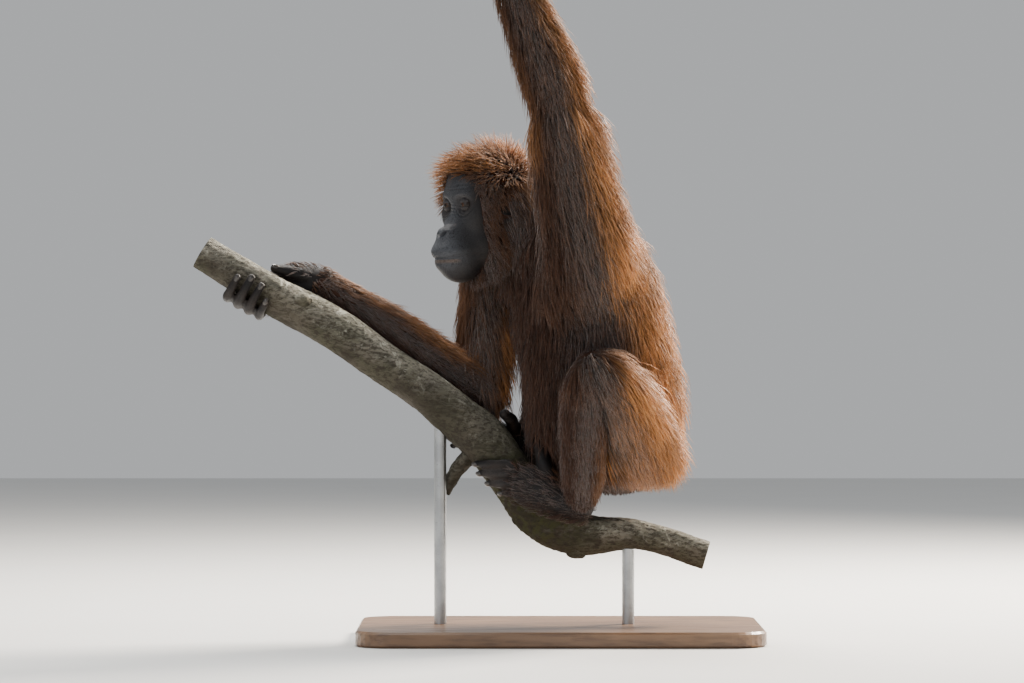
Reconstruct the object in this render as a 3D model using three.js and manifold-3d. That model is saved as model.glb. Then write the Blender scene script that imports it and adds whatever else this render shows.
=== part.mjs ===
// Orangutan, life size: a lean adult female sitting on a sloping branch. Her left arm is raised to
// a second branch, her right hand and both feet hold the main one, which stands on a small base.
// Millimetres, +Z up. She faces -X and her left side faces -Y. The origin is the middle of the
// base's underside.
import * as THREE from 'three';
import { mergeVertices } from 'three/addons/utils/BufferGeometryUtils.js';
import Module from 'manifold-3d';

const wasm = await Module();
wasm.setup();

const GAP = 0.35;            // between neighbouring parts
const MERGE_WITHIN = 0.001;  // vertices closer than this are one

const v3 = (x, y, z) => new THREE.Vector3(x, y, z);
const UP = v3(0, 0, 1);
const DOWN = v3(0, 0, -1);
const turned = (degrees) => {
  const angle = THREE.MathUtils.degToRad(degrees);
  return v3(Math.sin(angle), -Math.cos(angle), 0);
};

// One seeded stream of random numbers from 0 to 1
function randomFrom(seed) {
  let state = seed;
  return () => {
    state = (state + 0x6d2b79f5) | 0;
    let mixed = Math.imul(state ^ (state >>> 15), 1 | state);
    mixed = (mixed + Math.imul(mixed ^ (mixed >>> 7), 61 | mixed)) ^ mixed;
    return ((mixed ^ (mixed >>> 14)) >>> 0) / 4294967296;
  };
}

// Joins and cuts

// A closed geometry as a solid, with its faces turned out
function solidOf(geometry) {
  const bare = geometry.clone();
  bare.deleteAttribute('normal');
  bare.deleteAttribute('uv');
  const merged = mergeVertices(bare, MERGE_WITHIN);
  const place = merged.getAttribute('position');
  const corners = Array.from(merged.index.array);
  const [a, b, c] = [v3(), v3(), v3()];
  let volume = 0;
  for (let i = 0; i < corners.length; i += 3) {
    a.fromBufferAttribute(place, corners[i]);
    b.fromBufferAttribute(place, corners[i + 1]);
    c.fromBufferAttribute(place, corners[i + 2]);
    volume += a.dot(b.cross(c));
  }
  if (volume < 0) {
    for (let i = 0; i < corners.length; i += 3) {
      [corners[i + 1], corners[i + 2]] = [corners[i + 2], corners[i + 1]];
    }
  }
  return new wasm.Manifold(new wasm.Mesh({
    numProp: 3,
    vertProperties: new Float32Array(place.array),
    triVerts: new Uint32Array(corners),
  }));
}

// The solid back as a three.js geometry
function geometryOf(solid) {
  const mesh = solid.getMesh();
  const place = new Float32Array(mesh.numVert * 3);
  for (let i = 0; i < mesh.numVert; i++) {
    const from = i * mesh.numProp;
    place.set(mesh.vertProperties.subarray(from, from + 3), i * 3);
  }
  const geometry = new THREE.BufferGeometry();
  geometry.setAttribute('position', new THREE.BufferAttribute(place, 3));
  geometry.setIndex(new THREE.BufferAttribute(new Uint32Array(mesh.triVerts), 1));
  geometry.computeVertexNormals();
  return geometry;
}

const joined = (solids) => solids.reduce((whole, piece) => whole.add(piece));

function largestOf(solid) {
  return solid.decompose().reduce((best, piece) => (piece.volume() > best.volume() ? piece : best));
}

// Rounded forms: an oval section carried along a path, closed by a round cap at each end

// path: points; half: [across, deep] at each point; side: the direction of "across" at each point
class RoundForm {
  constructor({ path, half, side, caps, around = 10, rings = 9, capRings = 2, swell = 0 }) {
    Object.assign(this, { around, rings, capRings, swell });
    this.last = path.length - 1;
    this.curve = new THREE.CatmullRomCurve3(path, false, 'centripetal');
    this.sizes = new THREE.CatmullRomCurve3(half.map(([a, b]) => v3(a, b, 0)));
    const sides = Array.isArray(side) ? side : path.map(() => side);
    this.sides = new THREE.CatmullRomCurve3(sides);
    const natural = [half[0], half[this.last]].map(([a, b]) => (a + b) * 0.45);
    this.caps = caps ?? natural;
    this.samples = Array.from({ length: 25 }, (_, i) => this.curve.getPoint(i / 24));
  }

  section(t) {
    const centre = this.curve.getPoint(t);
    const along = this.curve.getTangent(t);
    const across = this.sides.getPoint(t);
    across.addScaledVector(along, -across.dot(along)).normalize();
    const deep = v3().crossVectors(along, across);
    const size = this.sizes.getPoint(t);
    return { centre, along, across, deep, a: size.x + this.swell, b: size.y + this.swell };
  }

  // The share of the path, its overrun at a cap and the size of ring number row
  ringAt(row) {
    const { rings, capRings, caps } = this;
    const share = Math.min(row, rings - row) / capRings;
    const middle = (row - capRings) / (rings - 2 * capRings);
    const t = THREE.MathUtils.clamp(middle, 0, 1);
    if (share >= 1) return { t, beyond: 0, size: 1 };
    const angle = (share * Math.PI) / 2;
    const beyond = (t < 0.5 ? -caps[0] : caps[1]) * Math.cos(angle);
    return { t, beyond, size: Math.sin(angle) };
  }

  geometry(grow = 0) {
    const shape = new THREE.SphereGeometry(1, this.around, this.rings);
    const place = shape.getAttribute('position');
    for (let row = 0; row <= this.rings; row++) {
      const { t, beyond, size } = this.ringAt(row);
      const { centre, along, across, deep, a, b } = this.section(t);
      for (let i = 0; i <= this.around; i++) {
        const turn = ((i % this.around) / this.around) * Math.PI * 2;
        const point = centre.clone().addScaledVector(along, beyond + Math.sign(beyond) * grow);
        point.addScaledVector(across, (a + grow) * size * Math.cos(turn));
        point.addScaledVector(deep, (b + grow) * size * Math.sin(turn));
        place.setXYZ(row * (this.around + 1) + i, point.x, point.y, point.z);
      }
    }
    return shape;
  }

  nearest(point) {
    const line = new THREE.Line3();
    const foot = v3();
    let best = { distance: Infinity, t: 0 };
    const steps = this.samples.length - 1;
    for (let i = 0; i < steps; i++) {
      line.set(this.samples[i], this.samples[i + 1]);
      const share = line.closestPointToPointParameter(point, true);
      line.at(share, foot);
      const distance = foot.distanceTo(point);
      if (distance < best.distance) best = { distance, t: (i + share) / steps };
    }
    return best.t;
  }

  // How far out a point is, with 1 on the surface, and the surface point and normal under it
  look(point) {
    const t = this.nearest(point);
    const { centre, along, across, deep, a, b } = this.section(t);
    const from = point.clone().sub(centre);
    const past = t <= 0.001 || t >= 0.999 ? from.dot(along) : 0;
    const cap = this.caps[t < 0.5 ? 0 : 1];
    const parts = [[from.dot(across), a, across], [from.dot(deep), b, deep], [past, cap, along]];
    const out = Math.hypot(...parts.map(([size, half]) => size / half));
    const surface = centre.clone();
    const normal = v3();
    for (const [size, half, direction] of parts) {
      surface.addScaledVector(direction, size / out);
      normal.addScaledVector(direction, size / (half * half));
    }
    return { out, surface, normal: normal.normalize(), height: point.distanceTo(surface) * Math.sign(out - 1) };
  }

  // The surface point at a share of the path and an angle round it, in degrees
  at(t, degrees) {
    const { centre, across, deep, a, b } = this.section(t);
    const turn = THREE.MathUtils.degToRad(degrees);
    return centre.addScaledVector(across, a * Math.cos(turn)).addScaledVector(deep, b * Math.sin(turn));
  }
}

// Locks of the long coat

const LOCK_SIDES = 3;
const LOCK_RINGS = 3;
const LOCK_GROWTH = { wide: 5, high: 1.8, tip: 12 };  // sharp corners grow more, to keep the gap beside them
const LOCK_WIDTHS = [0.72, 1.0, 0.78, 0];   // shares of the width from the root to the tip
const LOCK_HEIGHTS = [-1, 0.3, 0.55, 0.35]; // above the surface, in shares of the lift; the root is sunk

// A flat tapered lock that starts under the surface and runs along the lie, clear of other forms
function lockPath(form, start, lie, { length, lift, sink, hang }, others) {
  const step = length / LOCK_RINGS;
  const first = form.look(start);
  const points = [first.surface.clone().addScaledVector(first.normal, -sink)];
  const normals = [first.normal];
  let point = first.surface.clone().addScaledVector(first.normal, 1);
  for (let i = 1; i <= LOCK_RINGS; i++) {
    const here = form.look(point);
    const flat = lie.clone().addScaledVector(here.normal, -lie.dot(here.normal)).normalize();
    const way = flat.lerp(lie, hang * (i / LOCK_RINGS)).normalize();
    const next = point.clone().addScaledVector(way, step);
    const there = form.look(next);
    const height = lift * LOCK_HEIGHTS[i];
    if (there.height < height) next.copy(there.surface).addScaledVector(there.normal, height);
    if (others.some((other) => other.look(next).out < 1.06)) return null;
    points.push(next);
    normals.push(there.normal);
    point = next;
  }
  return { points, normals };
}

function lockGeometry({ points, normals }, { width, thick }, grow = 0) {
  const shape = new THREE.ConeGeometry(1, 1, LOCK_SIDES, LOCK_RINGS);
  const place = shape.getAttribute('position');
  for (let i = 0; i < place.count; i++) {
    const corner = v3().fromBufferAttribute(place, i);
    const ring = Math.round((corner.y + 0.5) * LOCK_RINGS);
    const before = points[Math.max(ring - 1, 0)];
    const after = points[Math.min(ring + 1, LOCK_RINGS)];
    const along = after.clone().sub(before).normalize();
    const across = v3().crossVectors(along, normals[ring]).normalize();
    const out = v3().crossVectors(across, along);
    const size = LOCK_WIDTHS[ring];
    const reach = 1 - ring / LOCK_RINGS;
    const turn = reach > 0 ? 1 / reach : 0;
    const wide = corner.x * turn * (width * 0.58 * size + grow * LOCK_GROWTH.wide);
    const high = corner.z * turn * (thick * (0.35 + 0.65 * size) + grow * LOCK_GROWTH.high);
    const point = points[ring].clone().addScaledVector(across, wide).addScaledVector(out, high);
    if (ring === LOCK_RINGS) point.addScaledVector(along, grow * LOCK_GROWTH.tip);
    if (ring === 0) point.addScaledVector(along, -grow);
    place.setXYZ(i, point.x, point.y, point.z);
  }
  return shape;
}

// Rows of locks over a form. rows: shares of the path; spread: from and to angle round it
function combed(form, coat, others) {
  const random = randomFrom(coat.seed);
  const jitter = (size) => (random() - 0.5) * 2 * size;
  const locks = [];
  coat.rows.forEach((row, number) => {
    for (let i = 0; i < coat.count; i++) {
      const share = (i + (number % 2 ? 0.5 : 0) + 0.25 + jitter(0.12)) / coat.count;
      const angle = THREE.MathUtils.lerp(coat.spread[0], coat.spread[1], share);
      const start = form.at(THREE.MathUtils.clamp(row + jitter(0.015), 0.01, 0.99), angle);
      if (coat.bare?.(start)) continue;
      const lie = (coat.lieAt?.(start) ?? coat.lie).clone().add(v3(jitter(0.13), jitter(0.13), jitter(0.08))).normalize();
      const length = coat.length * (1 + jitter(0.16));
      if (others.some((other) => other.look(start).out < 1.04)) continue;
      for (const share of [1, 0.72, 0.5]) {
        const path = lockPath(form, start, lie, { ...coat, length: length * share }, others);
        if (!path) continue;
        const width = coat.width * (1 + jitter(0.15)) * Math.sqrt(share);
        locks.push({ ...path, width, thick: coat.thick });
        break;
      }
    }
  });
  return locks;
}

const shagOf = (locks, grow) => locks.map((lock) => solidOf(lockGeometry(lock, lock, grow)));

// Body forms

const CHEST_TURN = 31;  // degrees that the shoulders are turned towards -Y
const HIP_TURN = 12;

const torso = new RoundForm({
  path: [v3(84, 0, 312), v3(88, 0, 362), v3(75, 0, 429), v3(63, 0, 505), v3(49, 2, 580),
    v3(24, 5, 655), v3(-14, 8, 716)],
  half: [[94, 84], [114, 102], [131, 119], [140, 116], [144, 108], [146, 98], [122, 80]],
  side: [HIP_TURN, HIP_TURN, 14, 18, 23, 28, CHEST_TURN].map(turned),
  caps: [42, 44],
  around: 18,
  rings: 13,
  capRings: 3,
});

const neck = new RoundForm({
  path: [v3(-8, 8, 706), v3(-52, 4, 750), v3(-92, -4, 774)],
  half: [[84, 74], [72, 66], [58, 58]],
  side: turned(CHEST_TURN),
  around: 14,
  rings: 7,
});

const armLeft = new RoundForm({
  path: [v3(34, -84, 648), v3(42, -122, 694), v3(26, -146, 775), v3(8, -158, 870), v3(-6, -164, 948)],
  half: [[66, 62], [60, 58], [46, 50], [41, 44], [37, 39]],
  side: v3(0, 1, 0),
  caps: [40, 34],
});
const forearmLeft = new RoundForm({
  path: [v3(-4, -164, 940), v3(-20, -160, 1000), v3(-55, -150, 1088), v3(-90, -136, 1176), v3(-117, -122, 1252)],
  half: [[36, 37], [38, 42], [31, 34], [24, 27], [23, 20]],
  side: v3(0, 1, 0),
  caps: [32, 14],
});
const armRight = new RoundForm({
  path: [v3(-62, 96, 690), v3(-104, 128, 690), v3(-128, 118, 618), v3(-137, 94, 530), v3(-141, 74, 456)],
  half: [[58, 56], [54, 54], [42, 44], [38, 40], [35, 36]],
  side: v3(0, 1, 0),
  caps: [34, 32],
});
const forearmRight = new RoundForm({
  path: [v3(-146, 72, 456), v3(-232, 58, 507), v3(-302, 50, 561), v3(-360, 46, 598), v3(-428, 40, 640)],
  half: [[34, 34], [34, 31], [29, 27], [24, 23], [23, 19]],
  side: v3(0, 1, 0),
  caps: [32, 14],
});
const thighLeft = new RoundForm({
  path: [v3(122, -58, 350), v3(104, -112, 402), v3(82, -156, 446), v3(60, -186, 480)],
  half: [[66, 72], [60, 64], [50, 54], [38, 40]],
  side: v3(0.8, 0.6, 0),
  caps: [46, 36],
});
const shinLeft = new RoundForm({
  path: [v3(58, -188, 478), v3(46, -170, 420), v3(40, -142, 340), v3(37, -112, 268)],
  half: [[36, 37], [37, 39], [31, 33], [24, 26]],
  side: v3(0, 1, 0),
  caps: [34, 20],
});
const thighRight = new RoundForm({
  path: [v3(104, 66, 348), v3(76, 112, 402), v3(44, 152, 456), v3(12, 178, 506)],
  half: [[64, 70], [58, 62], [48, 50], [38, 39]],
  side: v3(0.7, -0.7, 0),
  caps: [46, 34],
});
const shinRight = new RoundForm({
  path: [v3(10, 178, 504), v3(-4, 160, 456), v3(-30, 124, 398), v3(-50, 92, 348)],
  half: [[36, 36], [36, 36], [30, 30], [24, 25]],
  side: v3(0, 1, 0),
  caps: [33, 20],
});

// The head, in its own frame: forward, left and up from its middle

const HEAD_AT = v3(-141, -15, 767);
const HEAD_TURN = 35;  // degrees from -X towards -Y
const HEAD_NOD = 3;    // degrees down
const headFrame = (() => {
  const left = turned(HEAD_TURN);
  const ahead = v3(-Math.cos(THREE.MathUtils.degToRad(HEAD_TURN)), -Math.sin(THREE.MathUtils.degToRad(HEAD_TURN)), 0);
  ahead.applyAxisAngle(left, THREE.MathUtils.degToRad(HEAD_NOD));
  const above = v3().crossVectors(ahead, left);
  return new THREE.Matrix4().makeBasis(ahead, left, above).setPosition(HEAD_AT);
})();
const toHead = headFrame.clone().invert();

// Rounded masses: centre and half sizes. Those with a left value above 0 are on both sides
const HEAD_MASSES = [
  { name: 'cranium', at: [-14, 0, 36], half: [73, 60, 62] },
  { name: 'forehead', at: [22, 0, 44], half: [37, 45, 38] },
  { name: 'brow', at: [46, 18, 29], half: [15, 22, 8] },
  { name: 'temple', at: [12, 36, 6], half: [40, 25, 36] },
  { name: 'cheekbone', at: [34, 33, -14], half: [22, 21, 25] },
  { name: 'jaw', at: [8, 34, -56], half: [44, 26, 38] },
  { name: 'throat', at: [4, 0, -74], half: [52, 44, 36] },
  { name: 'nose bridge', at: [50, 0, -6], half: [11, 11, 34] },
  { name: 'nose side', at: [46, 14, -28], half: [20, 17, 22] },
  { name: 'muzzle', at: [46, 0, -60], half: [46, 43, 39] },
  { name: 'nose', at: [79, 8, -38], half: [8, 9, 7] },
  { name: 'upper lip', at: [58, 0, -70], half: [44, 43, 20] },
  { name: 'lower lip', at: [54, 0, -93], half: [41, 38, 17] },
  { name: 'chin', at: [50, 0, -103], half: [32, 31, 24] },
];
const HEAD_BLEND = 15;
const EYE_AT = [47, 27, 12];
const EYE_RADIUS = 12;
const SOCKET = { at: [64, 27, 12], half: [17, 16, 11] };
const SOCKET_BLEND = 8;
const MOUTH_UP = -83;
const HEAD_RAYS_FROM = v3(8, 0, -14);
const HAIR_PARTING = -0.3;  // how far the hair's centre on the crown is tilted back, in radians

const mirrored = (mass) => (mass.at[1] > 0 ? [mass, { ...mass, at: [mass.at[0], -mass.at[1], mass.at[2]] }] : [mass]);
const headMasses = HEAD_MASSES.flatMap(mirrored);
const sockets = mirrored(SOCKET);

// Signed distance to an ellipsoid, near enough close to its surface
function ellipsoidDistance(point, { at, half }) {
  const from = [point.x - at[0], point.y - at[1], point.z - at[2]];
  const near = Math.hypot(...from.map((x, i) => x / half[i]));
  const slope = Math.hypot(...from.map((x, i) => x / (half[i] * half[i])));
  return slope > 0 ? (near * (near - 1)) / slope : -Math.min(...half);
}

function softLeast(a, b, blend) {
  const mix = Math.max(blend - Math.abs(a - b), 0) / blend;
  return Math.min(a, b) - (mix * mix * blend) / 4;
}

function headDistance(point) {
  let distance = Infinity;
  for (const mass of headMasses) distance = softLeast(distance, ellipsoidDistance(point, mass), HEAD_BLEND);
  for (const socket of sockets) distance = -softLeast(-distance, ellipsoidDistance(point, socket), SOCKET_BLEND);
  return distance;
}

const HEAD_AROUND = 28;
const HEAD_RINGS = 21;
const FACE_CROWDING = 1.25;  // over 1 puts more rings on the face than on the back of the head

function alongRay(direction, grow) {
  let [near, far] = [20, 190];
  for (let i = 0; i < 22; i++) {
    const middle = (near + far) / 2;
    const inside = headDistance(HEAD_RAYS_FROM.clone().addScaledVector(direction, middle)) < grow;
    if (inside) near = middle;
    else far = middle;
  }
  return HEAD_RAYS_FROM.clone().addScaledVector(direction, near);
}

const head = {
  geometry(grow = 0) {
    const shape = new THREE.SphereGeometry(1, HEAD_AROUND, HEAD_RINGS);
    const place = shape.getAttribute('position');
    for (let row = 0; row <= HEAD_RINGS; row++) {
      const tilt = Math.PI * (row / HEAD_RINGS) ** FACE_CROWDING;
      for (let i = 0; i <= HEAD_AROUND; i++) {
        const turn = ((i % HEAD_AROUND) / HEAD_AROUND) * Math.PI * 2;
        const direction = v3(Math.cos(tilt), Math.sin(tilt) * Math.sin(turn), Math.sin(tilt) * Math.cos(turn));
        if (row === HEAD_RINGS) direction.set(-1, 0, 0);
        const point = alongRay(direction, grow).applyMatrix4(headFrame);
        place.setXYZ(row * (HEAD_AROUND + 1) + i, point.x, point.y, point.z);
      }
    }
    return shape;
  },
  // A surface point by its share of the way from the crown to the throat and its angle from the front
  at(share, degrees) {
    const [tilt, turn] = [Math.PI * share, THREE.MathUtils.degToRad(degrees)];
    const direction = v3(Math.sin(tilt) * Math.cos(turn), Math.sin(tilt) * Math.sin(turn), Math.cos(tilt));
    return alongRay(direction.applyAxisAngle(v3(0, 1, 0), HAIR_PARTING), 0).applyMatrix4(headFrame);
  },
  look(point) {
    const local = point.clone().applyMatrix4(toHead);
    const height = headDistance(local);
    const step = 1;
    const rise = (axis) => headDistance(local.clone().addScaledVector(axis, step)) - height;
    const normal = v3(rise(v3(1, 0, 0)), rise(v3(0, 1, 0)), rise(UP)).normalize();
    const surface = local.clone().addScaledVector(normal, -height).applyMatrix4(headFrame);
    normal.transformDirection(headFrame);
    return { out: 1 + height / 60, surface, normal, height };
  },
};
const headPoint = (forward, left, up) => v3(forward, left, up).applyMatrix4(headFrame);

function ballSolid(centre, radius, around = 12, rings = 8) {
  const ball = new THREE.SphereGeometry(radius, around, rings);
  return solidOf(ball.translate(centre.x, centre.y, centre.z));
}

// An oval in the head's own frame, as a solid
function headOval([forward, left, up], [a, b, c], around = 10, rings = 7) {
  const oval = new THREE.SphereGeometry(1, around, rings).scale(a, b, c).translate(forward, left, up);
  return solidOf(oval.applyMatrix4(headFrame));
}

const EAR_AT = [-10, 63, 6];
const LID = { radius: 14.2, openHigh: 5.2, openWide: 11.5 };

// Lids: a thin shell over the eyeball with an almond opening
function lidSolid(side) {
  const [forward, left, up] = [EYE_AT[0], EYE_AT[1] * side, EYE_AT[2]];
  const shell = headOval([forward, left, up], [LID.radius, LID.radius + 1.5, LID.radius - 1], 10, 7);
  const almond = headOval([forward + LID.radius, left, up], [LID.radius, LID.openWide, LID.openHigh], 8, 5);
  return shell.subtract(almond);
}

// The line between the lips: a thin curved plate cut into the front of the muzzle
function mouthCut() {
  const outer = new THREE.Shape();
  outer.absellipse(52, 0, 62, 56, -Math.PI * 0.6, Math.PI * 0.6);
  outer.absellipse(52, 0, 38, 34, Math.PI * 0.6, -Math.PI * 0.6, true);
  outer.closePath();
  const plate = new THREE.ExtrudeGeometry(outer, { depth: 2.4, bevelEnabled: false, curveSegments: 8 });
  return solidOf(plate.translate(0, 0, MOUTH_UP).applyMatrix4(headFrame));
}

function headSolid(grow) {
  let whole = solidOf(head.geometry(grow));
  for (const side of [-1, 1]) {
    whole = whole.add(lidSolid(side));
    if (grow === 0) whole = whole.subtract(headOval([89, 6.5 * side, -40], [8, 4.2, 3.4], 6, 4));
  }
  return grow === 0 ? whole.subtract(mouthCut()) : whole;
}

// A cupped ear: a bowl turned about its axis and flattened to an oval
function earSolid(side) {
  const profile = [[0, -5], [12, -3.5], [18, 2], [20, 8], [15.5, 6], [5, 1], [0, 0.5]];
  const bowl = new THREE.LatheGeometry(profile.map(([r, h]) => new THREE.Vector2(r, h)), 12);
  bowl.scale(0.68, 1, 1);
  bowl.rotateZ(side * THREE.MathUtils.degToRad(38));
  const frame = new THREE.Matrix4().makeBasis(v3(-1, 0, 0), v3(0, side, 0), v3(0, 0, -side).multiplyScalar(-side));
  bowl.applyMatrix4(frame).translate(EAR_AT[0], side * EAR_AT[1], EAR_AT[2]);
  return solidOf(bowl.applyMatrix4(headFrame));
}

// The branches

// A cut length of branch: an uneven round section carried along a path, with flat ends
function branchGeometry({ path, radii, around, rings, rough, seed }, grow = 0) {
  const shape = new THREE.CylinderGeometry(1, 1, 1, around, rings);
  const place = shape.getAttribute('position');
  const curve = new THREE.CatmullRomCurve3(path, false, 'centripetal');
  const widths = new THREE.CatmullRomCurve3(radii.map((r) => v3(r, 0, 0)));
  for (let i = 0; i < place.count; i++) {
    const corner = v3().fromBufferAttribute(place, i);
    const t = corner.y + 0.5;
    const along = curve.getTangent(t);
    const across = v3(0, 1, 0).addScaledVector(along, -along.y).normalize();
    const high = v3().crossVectors(along, across);
    const turn = Math.atan2(corner.z, corner.x);
    const bumps = Math.sin(turn * 2 + t * 21 + seed) + 0.8 * Math.sin(turn * 3 - t * 34 + seed * 2);
    const rim = Math.hypot(corner.x, corner.z);
    const radius = rim > 0.5 ? widths.getPoint(t).x + rough * bumps + grow : 0;
    const ends = (t < 0.001 ? -grow : 0) + (t > 0.999 ? grow : 0);
    const point = curve.getPoint(t).addScaledVector(along, ends);
    point.addScaledVector(across, radius * Math.cos(turn)).addScaledVector(high, radius * Math.sin(turn));
    place.setXYZ(i, point.x, point.y, point.z);
  }
  return shape;
}

const MAIN_BRANCH = {
  path: [v3(-640, 6, 692), v3(-507, 2, 613), v3(-404, 0, 556), v3(-302, 0, 487), v3(-232, 0, 437),
    v3(-180, 0, 396), v3(-130, 0, 350), v3(-78, 0, 282), v3(-30, 2, 222), v3(36, 4, 190), v3(143, 2, 186), v3(262, -4, 152)],
  radii: [32, 35, 36, 37, 38, 40, 43, 43, 46, 38, 27, 25],
  around: 10,
  rings: 26,
  rough: 1.6,
  seed: 1.3,
};
const KNOTS = [
  { at: v3(-22, -14, 196), half: [34, 26, 22] },
  { at: v3(30, 0, 160), half: [20, 18, 16] },
  { at: v3(-460, -20, 606), half: [18, 20, 15] },
];
const STUB = { from: v3(-150, 4, 340), to: v3(-206, 14, 262), radii: [17, 10] };
const UPPER_BRANCH = {
  path: [v3(-214, 10, 1338), v3(-176, -120, 1352), v3(-132, -262, 1350)],
  radii: [25, 24, 26],
  around: 12,
  rings: 9,
  rough: 0.9,
  seed: 4.1,
};

function stubSolid(grow) {
  const { from, to, radii } = STUB;
  return solidOf(branchGeometry({ path: [from, from.clone().lerp(to, 0.5).add(v3(-6, 0, 2)), to],
    radii: [radii[0], (radii[0] + radii[1]) / 2, radii[1]], around: 8, rings: 4, rough: 0.4, seed: 2 }, grow));
}

function branchSolid(grow) {
  const knots = KNOTS.map(({ at, half }) => solidOf(new THREE.SphereGeometry(1, 8, 5)
    .scale(half[0] + grow, half[1] + grow, half[2] + grow).translate(at.x, at.y, at.z)));
  return joined([solidOf(branchGeometry(MAIN_BRANCH, grow)), ...knots, stubSolid(grow)]);
}

// Hands and feet: each holds its branch, so it is laid out round the branch's axis

// The branch's frame at a share of its path. Angle 0 looks "towards", and angles grow to "then"
function gripFrame({ path }, share, towards, then, hold) {
  const curve = new THREE.CatmullRomCurve3(path, false, 'centripetal');
  const along = curve.getTangent(share);
  const zero = towards.clone().addScaledVector(along, -towards.dot(along)).normalize();
  const quarter = v3().crossVectors(along, zero);
  quarter.multiplyScalar(Math.sign(quarter.dot(then)));
  return { centre: curve.getPoint(share), along, zero, quarter, hold };
}

function gripPoint({ centre, along, zero, quarter }, distance, degrees, slide) {
  const turn = THREE.MathUtils.degToRad(degrees);
  return centre.clone().addScaledVector(along, slide)
    .addScaledVector(zero, distance * Math.cos(turn))
    .addScaledVector(quarter, distance * Math.sin(turn));
}

const DIGITS = [
  { spread: -33, long: 0.93, thick: 9.6 },
  { spread: -11, long: 1.03, thick: 10.2 },
  { spread: 11, long: 1.0, thick: 9.9 },
  { spread: 32, long: 0.84, thick: 8.8 },
];
const DIGIT_SWELL = [1, 1.1, 0.95, 1.06, 0.92, 0.78];  // from the knuckle to the tip

// A digit leaves the palm and runs round the branch; lead slides it along for each mm round
function digitForm({ grip, root, from, reach, lead }, { spread, long, thick }) {
  const distance = grip.hold + thick;
  const path = [root.clone().addScaledVector(grip.along, spread * 0.85)];
  const steps = DIGIT_SWELL.length - 2;
  for (let i = 0; i <= steps; i++) {
    const degrees = from + (reach * long * i) / steps;
    const round = THREE.MathUtils.degToRad(degrees - from) * distance;
    path.push(gripPoint(grip, distance, degrees, spread + lead * round));
  }
  const half = DIGIT_SWELL.map((share) => [thick * share, thick * share * 0.95]);
  return new RoundForm({ path, half, side: grip.along, around: 6, rings: 7, caps: [5, thick * 0.7] });
}

// A hand or foot: its palm or sole, its four digits and its thumb or great toe
function gripForms({ grip, palm, side, from, reach, lead, thumb }) {
  const root = palm[palm.length - 1][0];
  const flat = (stations) => ({ path: stations.map(([at]) => at), half: stations.map(([, half]) => half) });
  const digits = DIGITS.map((digit) => digitForm({ grip, root, from, reach, lead }, digit));
  return [
    new RoundForm({ ...flat(palm), side, around: 10, rings: 8 }),
    ...digits,
    new RoundForm({ ...flat(thumb), side: grip.along, around: 6, rings: 7 }),
  ];
}

const handRight = {
  grip: gripFrame(MAIN_BRANCH, 0.066, v3(0, 1, 0), v3(-0.5, 0, -0.9), 36.5),
  palm: [[v3(-424, 40, 640), [24, 20]], [v3(-466, 46, 637), [34, 18]], [v3(-512, 52, 622), [38, 14]]],
  side: UP,
  from: 38,
  reach: 148,
  lead: 0,
  thumb: [[v3(-440, 38, 646), [15, 15]], [v3(-478, 29, 656), [12, 12]], [v3(-512, 18, 664), [8, 8]]],
};
const handLeft = {
  grip: gripFrame(UPPER_BRANCH, 0.47, v3(1, 0, 0), UP, 26.4),
  palm: [[v3(-117, -122, 1252), [24, 18]], [v3(-127, -121, 1288), [35, 16]], [v3(-138, -119, 1334), [39, 13]]],
  side: v3(0.3, -0.95, 0),
  from: 22,
  reach: 176,
  lead: 0,
  thumb: [[v3(-122, -98, 1276), [11, 11]], [v3(-137, -74, 1300), [9, 9]], [v3(-152, -64, 1322), [7, 7]]],
};
const footLeft = {
  grip: gripFrame(MAIN_BRANCH, 0.632, v3(0, -1, 0), v3(-0.8, 0, -0.6), 44.5),
  palm: [[v3(36, -88, 240), [27, 24]], [v3(-12, -86, 257), [31, 23]], [v3(-60, -68, 279), [38, 15]]],
  side: UP,
  from: -8,
  reach: 54,
  lead: -0.72,
  thumb: [[v3(-14, -84, 282), [14, 14]], [v3(-30, -70, 318), [12, 12]], [v3(-38, -36, 350), [11, 11]],
    [v3(-52, 4, 352), [9, 9]]],
};
const footRight = {
  grip: gripFrame(MAIN_BRANCH, 0.535, v3(0, 1, 0), v3(-0.8, 0, -0.6), 44.5),
  palm: [[v3(-34, 86, 322), [26, 24]], [v3(-74, 82, 334), [31, 22]], [v3(-112, 64, 348), [38, 15]]],
  side: UP,
  from: -8,
  reach: 62,
  lead: -0.72,
  thumb: [[v3(-70, 80, 352), [14, 14]], [v3(-80, 66, 374), [12, 12]], [v3(-88, 34, 393), [11, 11]],
    [v3(-100, 2, 403), [9, 9]]],
};

const gripSolid = (forms, grow) => joined(forms.map((form) => solidOf(form.geometry(grow))));

// The stand: a bevelled board and two rods up to the branch

const BOARD = { long: 720, deep: 460, thick: 28, corner: 60, bevel: 4 };
const RODS = [
  { name: 'stand_rod_1', x: 122, radius: 11, top: 190 },
  { name: 'stand_rod_2', x: -214, radius: 11, top: 420 },
];
const ROD_AROUND = 20;

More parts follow.
